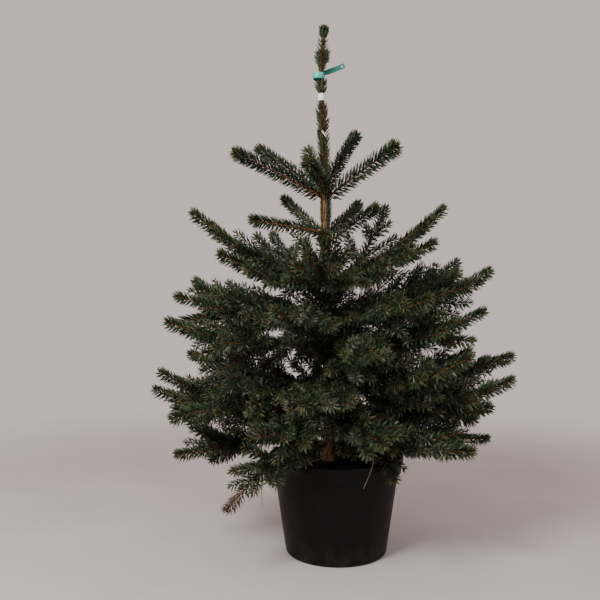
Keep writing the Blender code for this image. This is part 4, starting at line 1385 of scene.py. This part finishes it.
def turned(profile, steps):
    """A closed profile of (radius, height) points turned about the pot's axis."""
    bm = bmesh.new()
    points = [bm.verts.new((radius, 0.0, height)) for radius, height in profile]
    edges = [bm.edges.new(pair) for pair in zip(points, points[1:])]
    bmesh.ops.spin(
        bm, geom=edges, cent=(0, 0, 0), axis=(0, 0, 1), angle=math.tau, steps=steps,
        use_merge=True)
    bmesh.ops.remove_doubles(bm, verts=bm.verts, dist=0.00002)
    return bm


def arc(centre, radius, start, stop, steps):
    """Points along an arc in the profile's plane, angles in degrees from outward."""
    angles = (math.radians(start + (stop - start) * i / steps) for i in range(steps + 1))
    return [(centre[0] + radius * math.cos(a), centre[1] + radius * math.sin(a)) for a in angles]


def build_pot(material):
    """The pot: stepped collar, rolled lip and rounded foot, with a faintly uneven wall."""
    shoulder = POT_HEIGHT - COLLAR_HEIGHT
    collar_low = POT_SHOULDER_RADIUS + COLLAR_STEP
    collar_high = collar_low + COLLAR_TAPER
    lip_low = POT_HEIGHT - LIP_HEIGHT
    lip = collar_high + LIP_PROUD
    corner = (POT_BASE_RADIUS - POT_CORNER, POT_CORNER)
    outside = [(0.0, 0.0)] + arc(corner, POT_CORNER, -90, 0, RIM_STEPS + 2)
    rows = 14
    outside += [
        (POT_BASE_RADIUS + (POT_SHOULDER_RADIUS - POT_BASE_RADIUS) * i / rows,
         POT_CORNER + (shoulder - POT_CORNER) * i / rows) for i in range(1, rows)]
    outside += arc((POT_SHOULDER_RADIUS + EDGE_ROUND, shoulder - EDGE_ROUND), EDGE_ROUND, 180, 90, 3)
    outside += arc((collar_low - EDGE_ROUND, shoulder + COLLAR_SLOPE), EDGE_ROUND, -60, 0, 3)
    outside += [(collar_high, lip_low - EDGE_ROUND), (collar_high + EDGE_ROUND, lip_low)]
    outside += arc((lip - EDGE_ROUND, lip_low + LIP_SLOPE), EDGE_ROUND, -60, 0, 3)
    outside += arc((lip - LIP_ROUND, POT_HEIGHT - LIP_ROUND), LIP_ROUND, 0, 90, RIM_STEPS)
    inside = [(collar_high - POT_WALL, POT_HEIGHT - RIM_FALL)]
    inside += [(collar_low - POT_WALL, shoulder + 2 * COLLAR_SLOPE)]
    inside += [(POT_SHOULDER_RADIUS - POT_WALL, shoulder - COLLAR_SLOPE / 2)]
    inside += [(POT_BASE_RADIUS - POT_WALL, POT_CORNER), (corner[0], POT_WALL), (0.0, POT_WALL)]
    bm = turned(outside + inside, POT_STEPS)
    for vert in bm.verts:
        if vert.co.z > POT_CORNER:
            spoke = Vector((vert.co.x, vert.co.y, 0)).normalized()
            vert.co += spoke * WALL_WAVE * noise.noise(
                Vector((spoke.x * 1.4, spoke.y * 1.4, vert.co.z * 3.0)))
    return add_piece("pot_with_rolled_lip", bm, material, ["pot"])


def build_soil(material):
    """The filled inside of the pot, its top crumbly and heaped a little round the trunk."""
    shoulder = POT_HEIGHT - COLLAR_HEIGHT
    collar_low = POT_SHOULDER_RADIUS + COLLAR_STEP
    top = POT_HEIGHT - SOIL_BELOW_RIM
    inset = POT_WALL + 2 * SOCKET_GAP
    edge = collar_low - inset - SOIL_SHRINK * 0.2
    profile = [(0.0, POT_WALL + SOCKET_GAP)]
    profile += [(POT_BASE_RADIUS - POT_CORNER - SOCKET_GAP, POT_WALL + SOCKET_GAP)]
    profile += [(POT_BASE_RADIUS - inset, POT_CORNER + SOCKET_GAP)]
    profile += [(POT_SHOULDER_RADIUS - inset, shoulder - COLLAR_SLOPE / 2)]
    profile += [(collar_low - inset, shoulder + 2 * COLLAR_SLOPE + SOCKET_GAP)]
    profile += [(edge, top - SOIL_EDGE)]
    profile += [(edge * (1 - i / SOIL_RINGS), top) for i in range(SOIL_RINGS + 1)]
    bm = turned(profile, SOIL_STEPS)
    foot = Vector((TRUNK_COURSE[0][1], TRUNK_COURSE[0][2], top))
    for vert in bm.verts:
        if vert.co.z < top - SOIL_EDGE / 2:
            continue
        rim = min((edge - Vector((vert.co.x, vert.co.y)).length) / 0.02, 1.0)
        crumbs = noise.fractal(vert.co * 60.0, 0.6, 2.2, 4) * SOIL_RELIEF * rim
        heap = SOIL_HEAP * math.exp(-((vert.co - foot).length / 0.055) ** 2)
        vert.co.z += crumbs + heap
    return add_piece("crumbly_soil", bm, material, ["soil"])


def strip_between(points, height, rows):
    """An upright strip along a row of points, in rows from its lower edge up."""
    bm = bmesh.new()
    verts = [bm.verts.new(point) for point in points]
    edges = [bm.edges.new(pair) for pair in zip(verts, verts[1:])]
    for _ in range(rows):
        grown = bmesh.ops.extrude_edge_only(bm, edges=edges)["geom"]
        moved = [part for part in grown if isinstance(part, bmesh.types.BMVert)]
        bmesh.ops.translate(bm, verts=moved, vec=(0, 0, height / rows))
        edges = [part for part in grown if isinstance(part, bmesh.types.BMEdge)
                 and all(corner in moved for corner in part.verts)]
    return bm


def thickened(bm, thickness):
    """Give a strip its thickness, on the outside of its own faces."""
    bmesh.ops.recalc_face_normals(bm, faces=bm.faces)
    bmesh.ops.solidify(bm, geom=bm.faces[:] + bm.edges[:] + bm.verts[:], thickness=thickness)
    return bm


def build_band(material):
    """A strip of paper wound once round the leader, its end lapped over its start and lifted."""
    centre, _ = trunk_at(BAND_HEIGHT)
    low = centre - Vector((0, 0, BAND_WIDTH / 2))
    turn = math.tau + math.radians(BAND_LAP)
    points = []
    for i in range(BAND_STEPS + 1):
        share = i / BAND_STEPS
        angle = BAND_START + turn * share
        lift = BAND_LIFT * max(0.0, (share - 0.93) / 0.07) ** 2
        radius = BAND_RADIUS - 2.6 * BAND_PAPER + 1.4 * BAND_PAPER * share + lift
        points.append(low + Vector((radius * math.cos(angle), radius * math.sin(angle), 0)))
    bm = strip_between(points, BAND_WIDTH, 6)
    for vert in bm.verts:
        spoke = Vector((vert.co.x - centre.x, vert.co.y - centre.y, 0)).normalized()
        vert.co += spoke * 0.0006 * noise.noise(vert.co * 140.0)
    return add_piece(
        "paper_band", thickened(bm, BAND_PAPER * 0.6), material, ["leader_band"])


def tie_tail():
    """The flat tail of the tie in its own plane, with an eye near its square end."""
    half = TIE_WIDTH * TAIL_SHARE / 2
    eye = Vector((TAIL_LENGTH - TAIL_EYE_INSET, 0, 0))
    bm = bmesh.new()
    outline, hole = [], []
    for i in range(TAIL_EYE_STEPS):
        angle = math.tau * i / TAIL_EYE_STEPS
        spoke = Vector((math.cos(angle), 0, math.sin(angle)))
        square = half / max(abs(spoke.x), abs(spoke.z))
        outline.append(bm.verts.new(eye + spoke * square))
        hole.append(bm.verts.new(eye + spoke * TAIL_EYE_RADIUS))
    rims = []
    for ring in (outline, hole):
        rims += [bm.edges.new((ring[i - 1], ring[i])) for i in range(len(ring))]
    bmesh.ops.bridge_loops(bm, edges=rims)
    root = [
        edge for edge in bm.edges if all(
            abs(corner.co.x - (eye.x - half)) < 0.0001 for corner in edge.verts)]
    run = eye.x - half
    for _ in range(TAIL_STEPS):
        grown = bmesh.ops.extrude_edge_only(bm, edges=root)["geom"]
        moved = [part for part in grown if isinstance(part, bmesh.types.BMVert)]
        bmesh.ops.translate(bm, verts=moved, vec=(-run / TAIL_STEPS, 0, 0))
        root = [part for part in grown if isinstance(part, bmesh.types.BMEdge)
                and all(corner in moved for corner in part.verts)]
    return thickened(bm, TIE_THICKNESS * 0.6)


def build_tie(loop_material, tail_material):
    """The plastic tie: a loose, slightly wavy loop and its tail, which curls a little."""
    trunk, radius = trunk_at(TIE_HEIGHT)
    inner = TIE_RADIUS - TIE_THICKNESS
    centre = trunk - Vector((inner - radius - TIE_BEARING, 0, 0))
    half = TIE_WIDTH / 2
    edge = TIE_THICKNESS / 2
    profile = [(inner + edge * 0.3, -half), (TIE_RADIUS - edge * 0.3, -half)]
    profile += [(TIE_RADIUS, -half + edge), (TIE_RADIUS, 0.0), (TIE_RADIUS, half - edge)]
    profile += [(TIE_RADIUS - edge * 0.3, half), (inner + edge * 0.3, half)]
    profile += [(inner, half - edge), (inner, 0.0), (inner, -half + edge)]
    loop = turned(profile + profile[:1], TIE_STEPS)
    for vert in loop.verts:
        angle = math.atan2(vert.co.y, vert.co.x)
        vert.co.z += TIE_WAVE * math.sin(2 * angle + 0.6)
    bmesh.ops.translate(loop, verts=loop.verts, vec=centre)
    add_piece("tie_loop", loop, loop_material, ["leader_tie"])
    tail = tie_tail()
    rise = Matrix.Rotation(-math.radians(TAIL_RISE), 3, "Y")
    root = centre + Vector((0, TIE_RADIUS - TIE_THICKNESS / 2, TAIL_LIFT))
    for vert in tail.verts:
        share = vert.co.x / TAIL_LENGTH
        vert.co.y += TAIL_CURL * math.sin(math.pi * share)
        vert.co.z *= TAIL_NECK + (1 - TAIL_NECK) * min(3 * share, 1.0)
        vert.co = rise @ vert.co + root
    add_piece("tie_tail", tail, tail_material, ["leader_tie"])


def thin_limb(points, radii, sides=6):
    """A thin closed stick along a row of points."""
    rings = []
    for i, point in enumerate(points):
        before, after = points[max(i - 1, 0)], points[min(i + 1, len(points) - 1)]
        heading = (after - before).normalized()
        side = heading.orthogonal().normalized()
        over = heading.cross(side)
        rings.append([
            point + (side * math.cos(a) + over * math.sin(a)) * radii[i]
            for a in (math.tau * k / sides for k in range(sides))])
    return ring_loft(rings, radii[-1])


def smooth_points(marks, steps):
    """Points on a smooth curve through a few marks."""
    points = []
    for i in range(len(marks) - 1):
        low, high = marks[i], marks[i + 1]
        before, after = marks[max(i - 1, 0)], marks[min(i + 2, len(marks) - 1)]
        for step in range(steps):
            t = step / steps
            points.append((
                low * 2 + (high - before) * t + (before * 2 - low * 5 + high * 4 - after) * t ** 2
                + (low * 3 - before - high * 3 + after) * t ** 3) / 2)
    return points + [marks[-1]]


def build_small_pieces(materials):
    """Dead wood: a stick on the soil, a dead twig, a dry thread and a husk on the leader."""
    for name, node, finish, start_radius, end_radius, marks in SMALL_PIECES:
        points = smooth_points([Vector(mark) for mark in marks], 5)
        last = len(points) - 1
        radii = [start_radius + (end_radius - start_radius) * i / last for i in range(last + 1)]
        add_piece(name, thin_limb(points, radii), materials[finish], [node])


def build_camera():
    data = bpy.data.cameras.new("camera")
    data.lens = CAMERA_LENS
    data.sensor_width = 36.0
    data.clip_end = 50.0
    camera = bpy.data.objects.new("camera", data)
    camera.location = CAMERA_PLACE
    camera.rotation_euler = (math.radians(90), 0, 0)
    bpy.context.scene.collection.objects.link(camera)
    bpy.context.scene.camera = camera


def build_stage(material):
    """A pale round floor."""
    bm = bmesh.new()
    bmesh.ops.create_circle(bm, cap_ends=True, radius=FLOOR_RADIUS, segments=96)
    mesh = bpy.data.meshes.new("floor")
    bm.to_mesh(mesh)
    bm.free()
    mesh.materials.append(material)
    floor = bpy.data.objects.new("floor", mesh)
    bpy.context.scene.collection.objects.link(floor)


def area_light(name, place, aim, size, power, colour):
    data = bpy.data.lights.new(name, "AREA")
    data.shape = "DISK"
    data.size = size
    data.energy = power
    data.color = colour
    light = bpy.data.objects.new(name, data)
    light.location = place
    light.rotation_euler = (Vector(aim) - Vector(place)).to_track_quat("-Z", "Y").to_euler()
    bpy.context.scene.collection.objects.link(light)


def build_lights():
    area_light("key", (-1.7, -2.2, 2.6), (0.0, 0.0, 0.7), 1.1, 132, (1.0, 0.985, 0.96))
    area_light("fill", (2.2, -2.0, 1.6), (0.0, 0.0, 0.7), 1.8, 30, (0.97, 0.98, 1.0))
    world = bpy.data.worlds.new("studio")
    bpy.context.scene.world = world
    world.use_nodes = True
    background = world.node_tree.nodes["Background"]
    background.inputs["Color"].default_value = (*SURROUNDINGS, 1.0)
    background.inputs["Strength"].default_value = 1.0


def build_foliage(branches):
    space = Space(branches)
    needle_materials = [plain_material(name, *look) for name, look in NEEDLE_COLOURS.items()]
    twig_materials = [plain_material(name, *look) for name, look in TWIG_COLOURS.items()]
    grown = {}
    for tier in TIERS:
        own = [branch for branch in branches if branch.tier == tier.name]
        shoots = [shoot for branch in own for shoot in grow_branch(branch, space)]
        grown[tier.name] = shoots, ["foliage_" + branch.name for branch in own]
    inner = [name for tier in TIERS[:6] for name in grown[tier.name][1]]
    grown["between_whorls"] = grow_between_whorls(space), inner
    for name, (shoots, nodes) in grown.items():
        build_twigs(name + "_twigs", shoots, twig_materials, nodes)
        build_needles(name + "_needles", shoots, needle_materials, nodes)
    build_leader_needles(needle_materials)


def build_plant(materials):
    branches = all_branches()
    build_pot(materials["pot"])
    build_soil(materials["soil"])
    build_trunk(materials["trunk"])
    for branch in branches:
        if branch.share:
            build_bough(branch, materials["bough"])
    build_band(materials["band"])
    build_tie(materials["tie_loop"], materials["tie_tail"])
    build_small_pieces(materials)
    build_foliage(branches)


FINISHES = build_materials()
build_camera()
build_stage(FINISHES["floor"])
build_lights()
build_plant(FINISHES)
